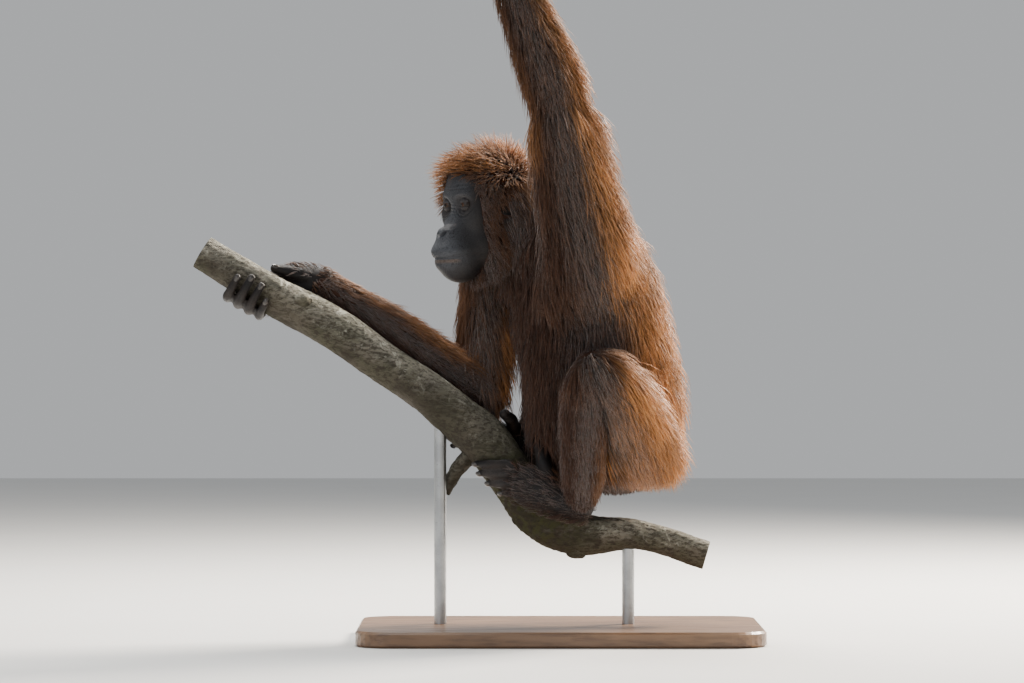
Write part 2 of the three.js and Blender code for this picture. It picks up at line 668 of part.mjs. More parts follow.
function boardSolid() {
  const { long, deep, thick, corner, bevel } = BOARD;
  const [x, y, r] = [long / 2 - bevel, deep / 2 - bevel, corner];
  const outline = new THREE.Shape();
  outline.moveTo(-x + r, -y).lineTo(x - r, -y).absarc(x - r, -y + r, r, -Math.PI / 2, 0);
  outline.lineTo(x, y - r).absarc(x - r, y - r, r, 0, Math.PI / 2);
  outline.lineTo(-x + r, y).absarc(-x + r, y - r, r, Math.PI / 2, Math.PI);
  outline.lineTo(-x, -y + r).absarc(-x + r, -y + r, r, Math.PI, Math.PI * 1.5);
  const board = new THREE.ExtrudeGeometry(outline, {
    depth: thick - 2 * bevel, bevelSize: bevel, bevelThickness: bevel, bevelSegments: 1, curveSegments: 4,
  });
  return solidOf(board.translate(0, 0, bevel));
}

// Each rod stands on the board and fits the underside of the branch
function rodSolid({ x, radius, top }) {
  const foot = BOARD.thick + GAP;
  const rod = new THREE.CylinderGeometry(radius, radius, top - foot, ROD_AROUND).rotateX(Math.PI / 2);
  return solidOf(rod.translate(x, 0, (top + foot) / 2)).subtract(branchSolid(GAP));
}

// Looks

const paint = (colour, roughness, metalness = 0) => new THREE.MeshStandardMaterial({ color: colour, roughness, metalness });
const COAT = paint(0x6e3418, 0.85);
const SKIN = paint(0x39332f, 0.6);
const EYE = paint(0x1c110b, 0.1);
const BARK = paint(0x6d675a, 0.95);
const WOOD = paint(0x8a6a4a, 0.6);
const STEEL = paint(0x9a9da0, 0.35, 1);

// The coat of each part: rows are shares of the path, spread the angles round it. The core of the
// coat, up to about half its depth, belongs to the rounded form, and the locks reach out to the tips.
const ROWS = (from, to, count) => Array.from({ length: count }, (_, i) => from + ((to - from) * i) / (count - 1));
const LONG_LOCK = { lift: 15, sink: 9, hang: 0.45, thick: 7 };
const COATS = {
  torso: { ...LONG_LOCK, rows: ROWS(0.1, 0.97, 6), count: 8, spread: [0, 360], lie: DOWN, length: 126,
    width: 68, depth: 24, seed: 11 },
  neck: { ...LONG_LOCK, rows: [0.35, 0.75], count: 6, spread: [0, 360], lie: DOWN, length: 84, width: 50,
    depth: 18, seed: 12 },
  upper_arm_left: { ...LONG_LOCK, rows: ROWS(0.3, 0.96, 4), count: 5, spread: [-200, 160], lie: v3(0.22, 0, -1),
    length: 100, width: 46, depth: 24, seed: 13 },
  forearm_left: { ...LONG_LOCK, rows: ROWS(0.12, 0.9, 4), count: 4, spread: [0, 360], lie: v3(0.3, 0, -1),
    length: 84, width: 38, depth: 20, seed: 14, lift: 11 },
  upper_arm_right: { ...LONG_LOCK, rows: ROWS(0.3, 0.96, 3), count: 5, spread: [0, 360], lie: DOWN,
    length: 96, width: 44, depth: 20, seed: 15 },
  forearm_right: { ...LONG_LOCK, rows: ROWS(0.1, 0.82, 4), count: 4, spread: [0, 360], lie: v3(0.75, 0, -0.66),
    length: 76, width: 34, depth: 15, seed: 16, lift: 9 },
  thigh_left: { ...LONG_LOCK, rows: ROWS(0.25, 0.95, 4), count: 5, spread: [0, 360], lie: v3(0.35, 0.1, -1),
    length: 104, width: 46, depth: 20, seed: 17 },
  shin_left: { ...LONG_LOCK, rows: ROWS(0.1, 0.78, 3), count: 5, spread: [0, 360], lie: DOWN, length: 86,
    width: 40, depth: 17, seed: 18 },
  thigh_right: { ...LONG_LOCK, rows: ROWS(0.35, 0.95, 3), count: 5, spread: [0, 360], lie: v3(0.35, -0.1, -1),
    length: 100, width: 46, depth: 20, seed: 19 },
  shin_right: { ...LONG_LOCK, rows: ROWS(0.1, 0.7, 2), count: 5, spread: [0, 360], lie: DOWN, length: 84,
    width: 40, depth: 17, seed: 20 },
};
// The face is bare in front of the brows, cheeks and jaw, and so is a patch round each ear
const isFace = (point) => {
  const { x, y, z } = point.clone().applyMatrix4(toHead);
  const ear = Math.hypot(x - EAR_AT[0], z - EAR_AT[2]) < 24 && Math.abs(y) > 40;
  return ear || (x > 14 && z < 66) || (x > -14 && z < -60 && z > -100);
};
// On the crown the hair runs forward and outward, and it hangs at the sides and the nape
const headLie = (point) => {
  const { x, y, z } = point.clone().applyMatrix4(toHead);
  const crown = THREE.MathUtils.smoothstep(z, 40, 95);
  const local = v3((x + 30) * 0.012 * crown, y * 0.01 * crown, 0.1 * crown - (1 - crown));
  return local.normalize().transformDirection(headFrame);
};
COATS.head = { ...LONG_LOCK, rows: [0.05, 0.24, 0.43], count: 7, spread: [0, 360], lieAt: headLie,
  bare: isFace, length: 62, width: 44, lift: 12, thick: 6, seed: 21 };
const BODY = {
  torso,
  neck,
  upper_arm_left: armLeft,
  upper_arm_right: armRight,
  forearm_left: forearmLeft,
  forearm_right: forearmRight,
  thigh_left: thighLeft,
  thigh_right: thighRight,
  shin_left: shinLeft,
  shin_right: shinRight,
};

for (const [name, form] of Object.entries(BODY)) form.swell = COATS[name].depth / 2;
const masses = [...Object.values(BODY), head];
const locksOf = {};
for (const [name, form] of Object.entries(BODY)) {
  locksOf[name] = combed(form, COATS[name], masses.filter((other) => other !== form));
}
locksOf.head = combed(head, COATS.head, [neck]);
const coated = (name, grow) => joined([solidOf(BODY[name].geometry(grow)), ...shagOf(locksOf[name], grow)]);

// Parts in the order they are fitted: each is cut clear of those before it
const eyeAt = (side) => headPoint(EYE_AT[0], EYE_AT[1] * side, EYE_AT[2]);
const PARTS = [
  { name: 'perch_branch', paint: BARK, make: branchSolid },
  { name: 'perch_upper', paint: BARK, make: (grow) => solidOf(branchGeometry(UPPER_BRANCH, grow)) },
  { name: 'stand_board', paint: WOOD, make: boardSolid },
  ...RODS.map((rod) => ({ name: rod.name, paint: STEEL, make: () => rodSolid(rod) })),
  { name: 'eye_left', paint: EYE, make: (grow) => ballSolid(eyeAt(1), EYE_RADIUS + grow) },
  { name: 'eye_right', paint: EYE, make: (grow) => ballSolid(eyeAt(-1), EYE_RADIUS + grow) },
  { name: 'hand_left', paint: SKIN, make: (grow) => gripSolid(gripForms(handLeft), grow) },
  { name: 'hand_right', paint: SKIN, make: (grow) => gripSolid(gripForms(handRight), grow) },
  { name: 'foot_left', paint: SKIN, make: (grow) => gripSolid(gripForms(footLeft), grow) },
  { name: 'foot_right', paint: SKIN, make: (grow) => gripSolid(gripForms(footRight), grow) },
  { name: 'ear_left', paint: SKIN, make: () => earSolid(1) },
  { name: 'ear_right', paint: SKIN, make: () => earSolid(-1) },
  { name: 'neck', paint: COAT, make: (grow) => coated('neck', grow) },
  { name: 'head', paint: SKIN, make: (grow) => joined([headSolid(grow), ...shagOf(locksOf.head, grow)]) },
  ...['forearm_left', 'forearm_right', 'shin_left', 'shin_right', 'upper_arm_left', 'upper_arm_right',
    'thigh_left', 'thigh_right', 'torso'].map((name) => ({
    name,
    paint: COAT,
    make: (grow) => coated(name, grow),
  })),
];

const touching = (a, b) => {
  const [one, two] = [a.boundingBox(), b.boundingBox()];
  return one.min.every((low, i) => low < two.max[i] && two.min[i] < one.max[i]);
};

const orangutan = new THREE.Group();
const before = [];
for (const part of PARTS) {
  let solid = part.make(0);
  for (const other of before) {
    if (touching(solid, other)) solid = solid.subtract(other);
  }
  solid = largestOf(solidOf(geometryOf(largestOf(solid))));
  before.push(part.make(GAP));
  const mesh = new THREE.Mesh(geometryOf(solid), part.paint);
  mesh.name = part.name;
  orangutan.add(mesh);
}

export default orangutan;
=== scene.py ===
"""Looks of the life-size orangutan model: skin, eyes, nails, long coat, bark, stand and studio.

Every surface is worked out with numpy in millimetres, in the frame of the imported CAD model, and is
put into its mesh in metres. +Z is up, the animal faces -X and its left side faces -Y.
"""

import math

import bpy
import numpy as np
from bpy.props import FloatProperty, FloatVectorProperty, IntProperty, PointerProperty
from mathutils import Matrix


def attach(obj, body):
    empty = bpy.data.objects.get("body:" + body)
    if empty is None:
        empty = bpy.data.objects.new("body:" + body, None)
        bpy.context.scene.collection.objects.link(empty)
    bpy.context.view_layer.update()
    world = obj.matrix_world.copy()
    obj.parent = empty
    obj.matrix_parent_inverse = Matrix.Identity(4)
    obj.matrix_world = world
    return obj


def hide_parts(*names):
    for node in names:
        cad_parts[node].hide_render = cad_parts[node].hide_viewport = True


bl_info = {
    "name": "Orangutan on a branch",
    "version": (1, 0, 0),
    "blender": (4, 5, 0),
    "location": "View3D > Sidebar > Orangutan",
    "description": "Builds the skin, coat, eyes, branches and studio of a life-size orangutan model",
    "category": "Object",
}

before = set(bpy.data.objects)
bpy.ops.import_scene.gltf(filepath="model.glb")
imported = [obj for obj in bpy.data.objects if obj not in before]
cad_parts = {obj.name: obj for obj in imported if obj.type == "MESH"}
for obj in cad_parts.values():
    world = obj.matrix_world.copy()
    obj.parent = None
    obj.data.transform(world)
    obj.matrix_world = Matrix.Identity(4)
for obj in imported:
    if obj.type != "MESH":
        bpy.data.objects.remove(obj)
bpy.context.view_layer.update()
MM = 0.001
STEP = 1e-4  # share of a path over which its direction is taken


# Curves and closed surfaces


def spline(points, t):
    """Centripetal Catmull-Rom curve through the points, at the shares t of its point numbers."""
    points = np.asarray(points, float)
    t = np.atleast_1d(np.asarray(t, float))
    last = len(points) - 1
    place = np.clip(t, 0, 1) * last
    i = np.minimum(place.astype(int), last - 1)
    share = (place - i)[:, None]
    padded = np.vstack([2 * points[0] - points[1], points, 2 * points[-1] - points[-2]])
    p0, p1, p2, p3 = (padded[i + k] for k in range(4))
    gaps = (p1 - p0, p2 - p1, p3 - p2)
    d0, d1, d2 = (np.sqrt(np.linalg.norm(gap, axis=1, keepdims=True)) for gap in gaps)
    d1 = np.where(d1 < 1e-2, 1.0, d1)
    d0 = np.where(d0 < 1e-2, d1, d0)
    d2 = np.where(d2 < 1e-2, d1, d2)
    m1 = ((p1 - p0) / d0 - (p2 - p0) / (d0 + d1) + (p2 - p1) / d1) * d1
    m2 = ((p2 - p1) / d1 - (p3 - p1) / (d1 + d2) + (p3 - p2) / d2) * d1
    c2 = -3 * p1 + 3 * p2 - 2 * m1 - m2
    c3 = 2 * p1 - 2 * p2 + m1 + m2
    return p1 + share * (m1 + share * (c2 + share * c3))


def unit(vectors):
    """The vectors at length 1."""
    return vectors / np.maximum(np.linalg.norm(vectors, axis=-1, keepdims=True), 1e-9)


def smooth(low, high, x):
    """0 below low, 1 above high, and an S curve between them."""
    t = np.clip((x - low) / (high - low), 0, 1)
    return t * t * (3 - 2 * t)


def heading(points, t):
    """Unit direction of the curve through the points, at the shares t."""
    return unit(spline(points, np.clip(t + STEP, 0, 1)) - spline(points, np.clip(t - STEP, 0, 1)))


def turns(around):
    """Angles round a ring, in one row."""
    return np.linspace(0, 2 * math.pi, around, endpoint=False)[None, :]


class Form:
    """A rounded mass: an oval section carried along a path, with a round cap at each end.

    path holds points, half the half sizes across and deep at each point, side the direction of
    "across" at all points or at each. A surface point is centre(t) + across * a(t) * cos(angle)
    + deep * b(t) * sin(angle).
    """

    def __init__(self, path, half, side, caps=None):
        self.path = np.array(path, float)
        self.half = np.array([(a, b, 0) for a, b in half], float)
        sides = np.array(side, float)
        self.side = np.tile(sides, (len(path), 1)) if sides.ndim == 1 else sides
        self.caps = caps or [(half[0][0] + half[0][1]) * 0.45, (half[-1][0] + half[-1][1]) * 0.45]

    def section(self, t):
        """Centre, along, across, deep and the two half sizes at the shares t of the path."""
        centre = spline(self.path, t)
        along = heading(self.path, t)
        across = spline(self.side, t)
        across = unit(across - along * np.sum(across * along, axis=1, keepdims=True))
        size = spline(self.half, t)
        return centre, along, across, np.cross(along, across), size[:, 0], size[:, 1]

    def surface(self, around=48, rings=60, cap_rings=8, grow=0.0, swell=None):
        """Grid of points: rings along the path, with quarter-circle caps, by angle round it.

        swell(t, angle), if given, is added to the half sizes.
        """
        rows = np.arange(rings + 1)
        t = np.clip((rows - cap_rings) / (rings - 2 * cap_rings), 0, 1)
        share = np.clip(np.minimum(rows, rings - rows) / cap_rings, 0, 1) * math.pi / 2
        cap = np.where(t < 0.5, -(self.caps[0] + grow), self.caps[1] + grow) * np.cos(share)
        centre, along, across, deep, a, b = self.section(t)
        angle = turns(around)
        extra = swell(t[:, None], angle) if swell else 0.0
        wide = ((a + grow)[:, None] + extra) * np.sin(share)[:, None] * np.cos(angle)
        high = ((b + grow)[:, None] + extra) * np.sin(share)[:, None] * np.sin(angle)
        start = (centre + along * cap[:, None])[:, None, :]
        return start + across[:, None, :] * wide[..., None] + deep[:, None, :] * high[..., None]


def angles(around, rings, power=1.0):
    """Angles from the front pole to the back one, pi * share ** power, and those round the axis."""
    tilt = (math.pi * np.linspace(0, 1, rings + 1) ** power)[:, None]
    return tilt, turns(around)


def ball(tilt, turn):
    """Directions: ahead * cos(tilt) + left * sin(tilt) * sin(turn) + up * sin(tilt) * cos(turn)."""
    shape = np.sin(tilt) * np.ones_like(turn)
    return np.stack([np.cos(tilt) * np.ones_like(turn), shape * np.sin(turn), shape * np.cos(turn)], -1)


def closed(grid):
    """Vertices and faces of a closed surface: the first and last row of the grid are its poles."""
    rows, around = grid.shape[:2]
    inner = grid[1:-1].reshape(-1, 3)
    verts = np.vstack([grid[0, :1], inner, grid[-1, :1]])
    i = np.arange(rows - 3)[:, None] * around
    j = np.arange(around)[None, :]
    k = (np.arange(around)[None, :] + 1) % around
    quads = np.stack([1 + i + j, 1 + i + k, 1 + i + around + k, 1 + i + around + j], -1).reshape(-1, 4)
    last = len(verts) - 1
    row = last - around
    top = np.stack([np.zeros(around, int), 1 + k[0], 1 + j[0]], -1)
    bottom = np.stack([np.full(around, last), row + j[0], row + k[0]], -1)
    return verts, [quads, np.vstack([top, bottom])]


def outward(verts, faces):
    """The faces, turned round if the solid that they close has a negative volume."""
    volume = 0.0
    for group in faces:
        for n in range(1, group.shape[1] - 1):
            a, b, c = verts[group[:, 0]], verts[group[:, n]], verts[group[:, n + 1]]
            volume += np.einsum("ij,ij->", a, np.cross(b, c))
    return faces if volume > 0 else [group[:, ::-1] for group in faces]


def joined(pieces):
    """One list of vertices and faces from several closed surfaces."""
    verts, faces, start = [], [], 0
    for points, groups in pieces:
        faces += [group + start for group in outward(points, groups)]
        verts.append(points)
        start += len(points)
    return np.vstack(verts), faces


def make_object(name, verts, faces, shade_smooth=True):
    """A mesh object from points in millimetres and arrays of faces, at the origin."""
    mesh = bpy.data.meshes.new(name)
    sizes = np.concatenate([np.full(len(group), group.shape[1]) for group in faces])
    corners = np.concatenate([group.ravel() for group in faces]).astype(np.int32)
    mesh.vertices.add(len(verts))
    mesh.vertices.foreach_set("co", (np.asarray(verts) * MM).astype(np.float32).ravel())
    mesh.loops.add(len(corners))
    mesh.loops.foreach_set("vertex_index", corners)
    mesh.polygons.add(len(sizes))
    mesh.polygons.foreach_set("loop_start", np.concatenate([[0], np.cumsum(sizes)[:-1]]).astype(np.int32))
    mesh.polygons.foreach_set("use_smooth", np.full(len(sizes), shade_smooth))
    mesh.update(calc_edges=True)
    mesh.validate()
    thing = bpy.data.objects.new(name, mesh)
    bpy.context.scene.collection.objects.link(thing)
    return thing


def solid(name, grids):
    """An object from the grids of its closed surfaces."""
    return make_object(name, *joined([closed(grid) for grid in grids]))


def melted(thing, voxel):
    """Makes the object one skin, by a voxel remesh of that size in metres and a soft smoothing."""
    remesh = thing.modifiers.new("remesh", "REMESH")
    remesh.mode = "VOXEL"
    remesh.voxel_size = voxel
    soften = thing.modifiers.new("soften", "SMOOTH")
    soften.factor = 0.5
    soften.iterations = 6
    bpy.context.view_layer.update()
    evaluated = thing.evaluated_get(bpy.context.evaluated_depsgraph_get())
    mesh = bpy.data.meshes.new_from_object(evaluated)
    thing.modifiers.clear()
    thing.data = mesh
    return thing


def fetched(items, key, width=1, kind=np.int32):
    """A property of all the items of a mesh, in an array with width columns."""
    values = np.empty(len(items) * width, kind)
    items.foreach_get(key, values)
    return values.reshape(-1, width) if width > 1 else values


def points_of(mesh):
    """A mesh's vertices, in millimetres."""
    return fetched(mesh.vertices, "co", 3, np.float32).astype(float) / MM


def triangles_of(mesh):
    """Vertex numbers of a mesh's triangles."""
    mesh.calc_loop_triangles()
    return fetched(mesh.loop_triangles, "vertices", 3)


def faces_of(mesh):
    """A mesh's faces as arrays of vertex numbers, one array for each number of corners."""
    total, start = fetched(mesh.polygons, "loop_total"), fetched(mesh.polygons, "loop_start")
    loops = fetched(mesh.loops, "vertex_index")
    return [loops[start[total == n][:, None] + np.arange(n)] for n in np.unique(total)]


def flowing_noise(points, scale, seed):
    """Smooth noise from -1 to 1: a sum of sine waves in seeded directions, each twice as fine."""
    rng = np.random.default_rng(seed)
    total = np.zeros(len(points))
    for octave in range(4):
        for _ in range(4):
            wave = unit(rng.normal(size=3)) * 2 * math.pi / scale * 2**octave
            total += np.sin(points @ wave + rng.uniform(0, 6.28)) / 2**octave
    return total / 4.0


# The body, as it is in the CAD source


def turned(degrees):
    """The level direction to the animal's left when its front is turned from -X towards -Y."""
    angle = math.radians(degrees)
    return (math.sin(angle), -math.cos(angle), 0.0)


CHEST_TURN = 31
HIP_TURN = 12
LEVEL = (0, 1, 0)
BODY = {
    "torso": Form(
        [(84, 0, 312), (88, 0, 362), (75, 0, 429), (63, 0, 505), (49, 2, 580), (24, 5, 655), (-14, 8, 716)],
        [(94, 84), (114, 102), (131, 119), (140, 116), (144, 108), (146, 98), (122, 80)],
        [turned(a) for a in (HIP_TURN, HIP_TURN, 14, 18, 23, 28, CHEST_TURN)],
        (42, 44),
    ),
    "neck": Form([(-8, 8, 706), (-52, 4, 750), (-92, -4, 774)], [(84, 74), (72, 66), (58, 58)], turned(CHEST_TURN)),
    "upper_arm_left": Form(
        [(34, -84, 648), (42, -122, 694), (26, -146, 775), (8, -158, 870), (-6, -164, 948)],
        [(66, 62), (60, 58), (46, 50), (41, 44), (37, 39)], LEVEL, (40, 34),
    ),
    "forearm_left": Form(
        [(-4, -164, 940), (-20, -160, 1000), (-55, -150, 1088), (-90, -136, 1176), (-117, -122, 1252)],
        [(36, 37), (38, 42), (31, 34), (24, 27), (23, 20)], LEVEL, (32, 14),
    ),
    "upper_arm_right": Form(
        [(-62, 96, 690), (-104, 128, 690), (-128, 118, 618), (-137, 94, 530), (-141, 74, 456)],
        [(58, 56), (54, 54), (42, 44), (38, 40), (35, 36)], LEVEL, (34, 32),
    ),
    "forearm_right": Form(
        [(-146, 72, 456), (-232, 58, 507), (-302, 50, 561), (-360, 46, 598), (-428, 40, 640)],
        [(34, 34), (34, 31), (29, 27), (24, 23), (23, 19)], LEVEL, (32, 14),
    ),
    "thigh_left": Form(
        [(122, -58, 350), (104, -112, 402), (82, -156, 446), (60, -186, 480)],
        [(66, 72), (60, 64), (50, 54), (38, 40)], (0.8, 0.6, 0), (46, 36),
    ),
    "shin_left": Form(
        [(58, -188, 478), (46, -170, 420), (40, -142, 340), (37, -112, 268)],
        [(36, 37), (37, 39), (31, 33), (24, 26)], LEVEL, (34, 20),
    ),
    "thigh_right": Form(
        [(104, 66, 348), (76, 112, 402), (44, 152, 456), (12, 178, 506)],
        [(64, 70), (58, 62), (48, 50), (38, 39)], (0.7, -0.7, 0), (46, 34),
    ),
    "shin_right": Form(
        [(10, 178, 504), (-4, 160, 456), (-30, 124, 398), (-50, 92, 348)],
        [(36, 36), (36, 36), (30, 30), (24, 25)], LEVEL, (33, 20),
    ),
}

# The head's own frame: forward, left and up from its middle
HEAD_AT = np.array([-141.0, -15.0, 767.0])
HEAD_TURN, HEAD_NOD = 35, 3


def head_axes():
    """Rows: the head's forward, left and up directions."""
    left = np.array(turned(HEAD_TURN))
    turn, nod = math.radians(HEAD_TURN), math.radians(HEAD_NOD)
    level = np.array([-math.cos(turn), -math.sin(turn), 0.0])
    ahead = level * math.cos(nod) + np.cross(left, level) * math.sin(nod)
    return np.array([ahead, left, np.cross(ahead, left)])


HEAD_AXES = head_axes()


def from_head(points):
    """Points of the head's frame in the row's frame."""
    return HEAD_AT + np.asarray(points, float) @ HEAD_AXES


def to_head(points):
    """Points of the row's frame in the head's."""
    return (np.asarray(points, float) - HEAD_AT) @ HEAD_AXES.T


# Rounded masses of the head: centre and half sizes; those beside the middle are on both sides
HEAD_MASSES = {
    "cranium": ((-14, 0, 36), (73, 60, 62)),
    "forehead": ((22, 0, 44), (37, 45, 38)),
    "brow": ((46, 18, 29), (15, 22, 8)),
    "temple": ((12, 36, 6), (40, 25, 36)),
    "cheekbone": ((34, 33, -14), (22, 21, 25)),
    "jaw": ((8, 34, -56), (44, 26, 38)),
    "throat": ((4, 0, -74), (52, 44, 36)),
    "nose bridge": ((50, 0, -6), (11, 11, 34)),
    "nose side": ((46, 14, -28), (20, 17, 22)),
    "muzzle": ((46, 0, -60), (46, 43, 39)),
    "nose": ((79, 8, -38), (8, 9, 7)),
    "upper lip": ((58, 0, -70), (44, 43, 20)),
    "lower lip": ((54, 0, -93), (41, 38, 17)),
    "chin": ((50, 0, -103), (32, 31, 24)),
}
HEAD_BLEND = 15.0
SOCKET = ((64, 27, 12), (17, 16, 11))
SOCKET_BLEND = 8.0
EYE_AT = (47.0, 27.0, 12.0)
EYE_RADIUS = 12.0
CORNEA_RISE, CORNEA_WIDTH = 0.9, 0.42  # mm, and radians from the eye's front
EAR_AT = (-10.0, 63.0, 6.0)
MOUTH_UP = -83.0
HEAD_RAYS_FROM = np.array([8.0, 0.0, -14.0])


def eye_middle(side):
    """Middle of the left (1) or right (-1) eye in the head's frame."""
    return np.array(EYE_AT) * (1, side, 1)


def both_sides(masses):
    """The masses, with those beside the middle repeated on the right."""
    for at, half in masses:
        yield np.array(at, float), np.array(half, float)
        if at[1] > 0:
            yield np.array([at[0], -at[1], at[2]], float), np.array(half, float)


def ellipsoid_distance(points, at, half):
    """Distance to an ellipsoid, negative inside: near * (near - 1) / slope of its quadratic."""
    near = np.linalg.norm((points - at) / half, axis=-1)
    slope = np.linalg.norm((points - at) / half**2, axis=-1)
    return near * (near - 1) / np.maximum(slope, 1e-9)


def soft_least(a, b, blend):
    """The smaller of the two, rounded over where they are within blend of each other."""
    mix = np.maximum(blend - np.abs(a - b), 0) / blend
    return np.minimum(a, b) - mix * mix * blend / 4


def head_distance(points):
    """Distance to the head's surface in its own frame: joined masses with the sockets cut out."""
    distance = np.full(points.shape[:-1], 1e3)
    for at, half in both_sides(HEAD_MASSES.values()):
        distance = soft_least(distance, ellipsoid_distance(points, at, half), HEAD_BLEND)
    for at, half in both_sides([SOCKET]):
        distance = -soft_least(-distance, ellipsoid_distance(points, at, half), SOCKET_BLEND)
    return distance


def head_grid(around=220, rings=170):
    """The head: along rays from its middle, the last point inside, found by halving.

    The rings are closer on the face: the angle from the front is pi * share ** 1.25.
    """
    ray = ball(*angles(around, rings, 1.25))
    near = np.full(ray.shape[:2], 20.0)
    far = np.full(ray.shape[:2], 190.0)
    for _ in range(16):
        middle = (near + far) / 2
        inside = head_distance(HEAD_RAYS_FROM + ray * middle[..., None]) < 0
        near = np.where(inside, middle, near)
        far = np.where(inside, far, middle)
    local = HEAD_RAYS_FROM + ray * near[..., None]
    local = local - ray * face_creases(local)[..., None]
    return from_head(local)


def face_creases(local):
    """Depth in mm: the line of the mouth, the nostrils, and wrinkles on eyes, bridge, brow and lips."""
    ahead, left, up = local[..., 0], np.abs(local[..., 1]), local[..., 2]
    front = smooth(30, 50, ahead)
    mouth_at = MOUTH_UP + 3.0 * smooth(20, 46, left)
    mouth = 3.4 * np.exp(-(((up - mouth_at) / 1.7) ** 2)) * smooth(14, 40, ahead)
    slant = up + 40 - 0.45 * (left - 8)
    hole = ((left - 8.5) / 5.8) ** 2 + (slant / 4.0) ** 2
    nostril = 10.0 * np.exp(-(hole**1.5)) * smooth(60, 72, ahead)
    round_eye = np.hypot(left - EYE_AT[1], up - EYE_AT[2])
    under_eye = 0.9 * np.sin(round_eye * 1.25) * np.exp(-(((round_eye - 21) / 5) ** 2)) * smooth(10, 0, up)
    upright = 0.5 * np.sin(left * 1.5 + 0.3 * np.sin(up * 0.4)) * np.exp(-(((up - MOUTH_UP) / 14) ** 2))
    bridge = 0.55 * np.sin(up * 1.1 + 0.02 * left**2) * np.exp(-((left / 15) ** 2) - ((up - 4) / 14) ** 2)
    brow = 0.5 * np.sin(up - 0.05 * left) * np.exp(-(((up - 42) / 9) ** 2)) * smooth(44, 30, left)
    return mouth + nostril + (under_eye + upright + bridge + brow) * front


# Branches, as in the CAD source

MAIN_BRANCH = {
    "path": [(-640, 6, 692), (-507, 2, 613), (-404, 0, 556), (-302, 0, 487), (-232, 0, 437), (-180, 0, 396),
             (-130, 0, 350), (-78, 0, 282), (-30, 2, 222), (36, 4, 190), (143, 2, 186), (262, -4, 152)],
    "radii": [32, 35, 36, 37, 38, 40, 43, 43, 46, 38, 27, 25],
    "rough": 1.6,
    "seed": 1.3,
}
UPPER_BRANCH = {
    "path": [(-214, 10, 1338), (-176, -120, 1352), (-132, -262, 1350)],
    "radii": [25, 24, 26],
    "rough": 0.9,
    "seed": 4.1,
}
KNOTS = [((-22, -14, 196), (34, 26, 22)), ((30, 0, 160), (20, 18, 16)), ((-460, -20, 606), (18, 20, 15))]
STUB = {"path": [(-150, 4, 340), (-184, 9, 303), (-206, 14, 262)], "radii": [17, 13.5, 10], "rough": 0.4, "seed": 2.0}

# Hands and feet


def grip_frame(branch, share, towards, then, hold):
    """Centre, along, zero and quarter directions of a branch where it is held, and the hold radius."""
    path = np.array(branch["path"], float)
    centre = spline(path, share)[0]
    along = heading(path, share)[0]
    zero = np.array(towards, float)
    zero = unit(zero - along * zero.dot(along))
    quarter = np.cross(along, zero)
    return centre, along, zero, quarter * np.sign(quarter.dot(then)), hold


DIGITS = [(-33, 0.93, 9.6), (-11, 1.03, 10.2), (11, 1.0, 9.9), (32, 0.84, 8.8)]  # spread, length, radius
DIGIT_SWELL = [1, 1.1, 0.95, 1.06, 0.92, 0.78]
TOE_INSET, FINGER_INSET = -1.7, -0.9  # mm, so that the digits don't run together
LEFT_TOES_AT = (-0.112, -0.05, 0.286)  # metres
HANDS = {
    "hand_right": {
        "grip": grip_frame(MAIN_BRANCH, 0.066, (0, 1, 0), (-0.5, 0, -0.9), 36.5),
        "palm": [((-424, 40, 640), (24, 20)), ((-466, 46, 637), (34, 18)), ((-512, 52, 622), (38, 14))],
        "side": (0, 0, 1), "from": 38, "reach": 148, "lead": 0,
        "thumb": [((-440, 38, 646), (15, 15)), ((-478, 29, 656), (12, 12)), ((-512, 18, 664), (8, 8))],
    },
    "hand_left": {
        "grip": grip_frame(UPPER_BRANCH, 0.47, (1, 0, 0), (0, 0, 1), 26.4),
        "palm": [((-117, -122, 1252), (24, 18)), ((-127, -121, 1288), (35, 16)), ((-138, -119, 1334), (39, 13))],
        "side": (0.3, -0.95, 0), "from": 22, "reach": 176, "lead": 0,
        "thumb": [((-122, -98, 1276), (11, 11)), ((-137, -74, 1300), (9, 9)), ((-152, -64, 1322), (7, 7))],
    },
    "foot_left": {
        "grip": grip_frame(MAIN_BRANCH, 0.632, (0, -1, 0), (-0.8, 0, -0.6), 44.5),
        "palm": [((36, -88, 240), (27, 24)), ((-12, -86, 257), (31, 23)), ((-60, -68, 279), (38, 15))],
        "side": (0, 0, 1), "from": -8, "reach": 54, "lead": -0.72,
        "thumb": [((-14, -84, 282), (14, 14)), ((-30, -70, 318), (12, 12)), ((-38, -36, 350), (11, 11)),
                  ((-52, 4, 352), (9, 9))],
    },
    "foot_right": {
        "grip": grip_frame(MAIN_BRANCH, 0.535, (0, 1, 0), (-0.8, 0, -0.6), 44.5),
        "palm": [((-34, 86, 322), (26, 24)), ((-74, 82, 334), (31, 22)), ((-112, 64, 348), (38, 15))],
        "side": (0, 0, 1), "from": -8, "reach": 62, "lead": -0.72,
        "thumb": [((-70, 80, 352), (14, 14)), ((-80, 66, 374), (12, 12)), ((-88, 34, 393), (11, 11)),
                  ((-100, 2, 403), (9, 9))],
    },
}


def digit_form(hand, spread, long, thick):
    """A digit: from the palm's end, then round the branch at its thickness, sliding by the lead."""
    centre, along, zero, quarter, hold = hand["grip"]
    distance = hold + thick
    root = np.array(hand["palm"][-1][0], float) + along * spread * 0.85
    angle = np.radians(hand["from"] + hand["reach"] * long * np.linspace(0, 1, 5))[:, None]
    slide = spread + hand["lead"] * (angle - angle[0]) * distance
    path = centre + along * slide + (zero * np.cos(angle) + quarter * np.sin(angle)) * distance
    half = [(thick * s, thick * s * 0.95) for s in DIGIT_SWELL]
    return Form(np.vstack([root, path]), half, along, (5, thick * 0.7))


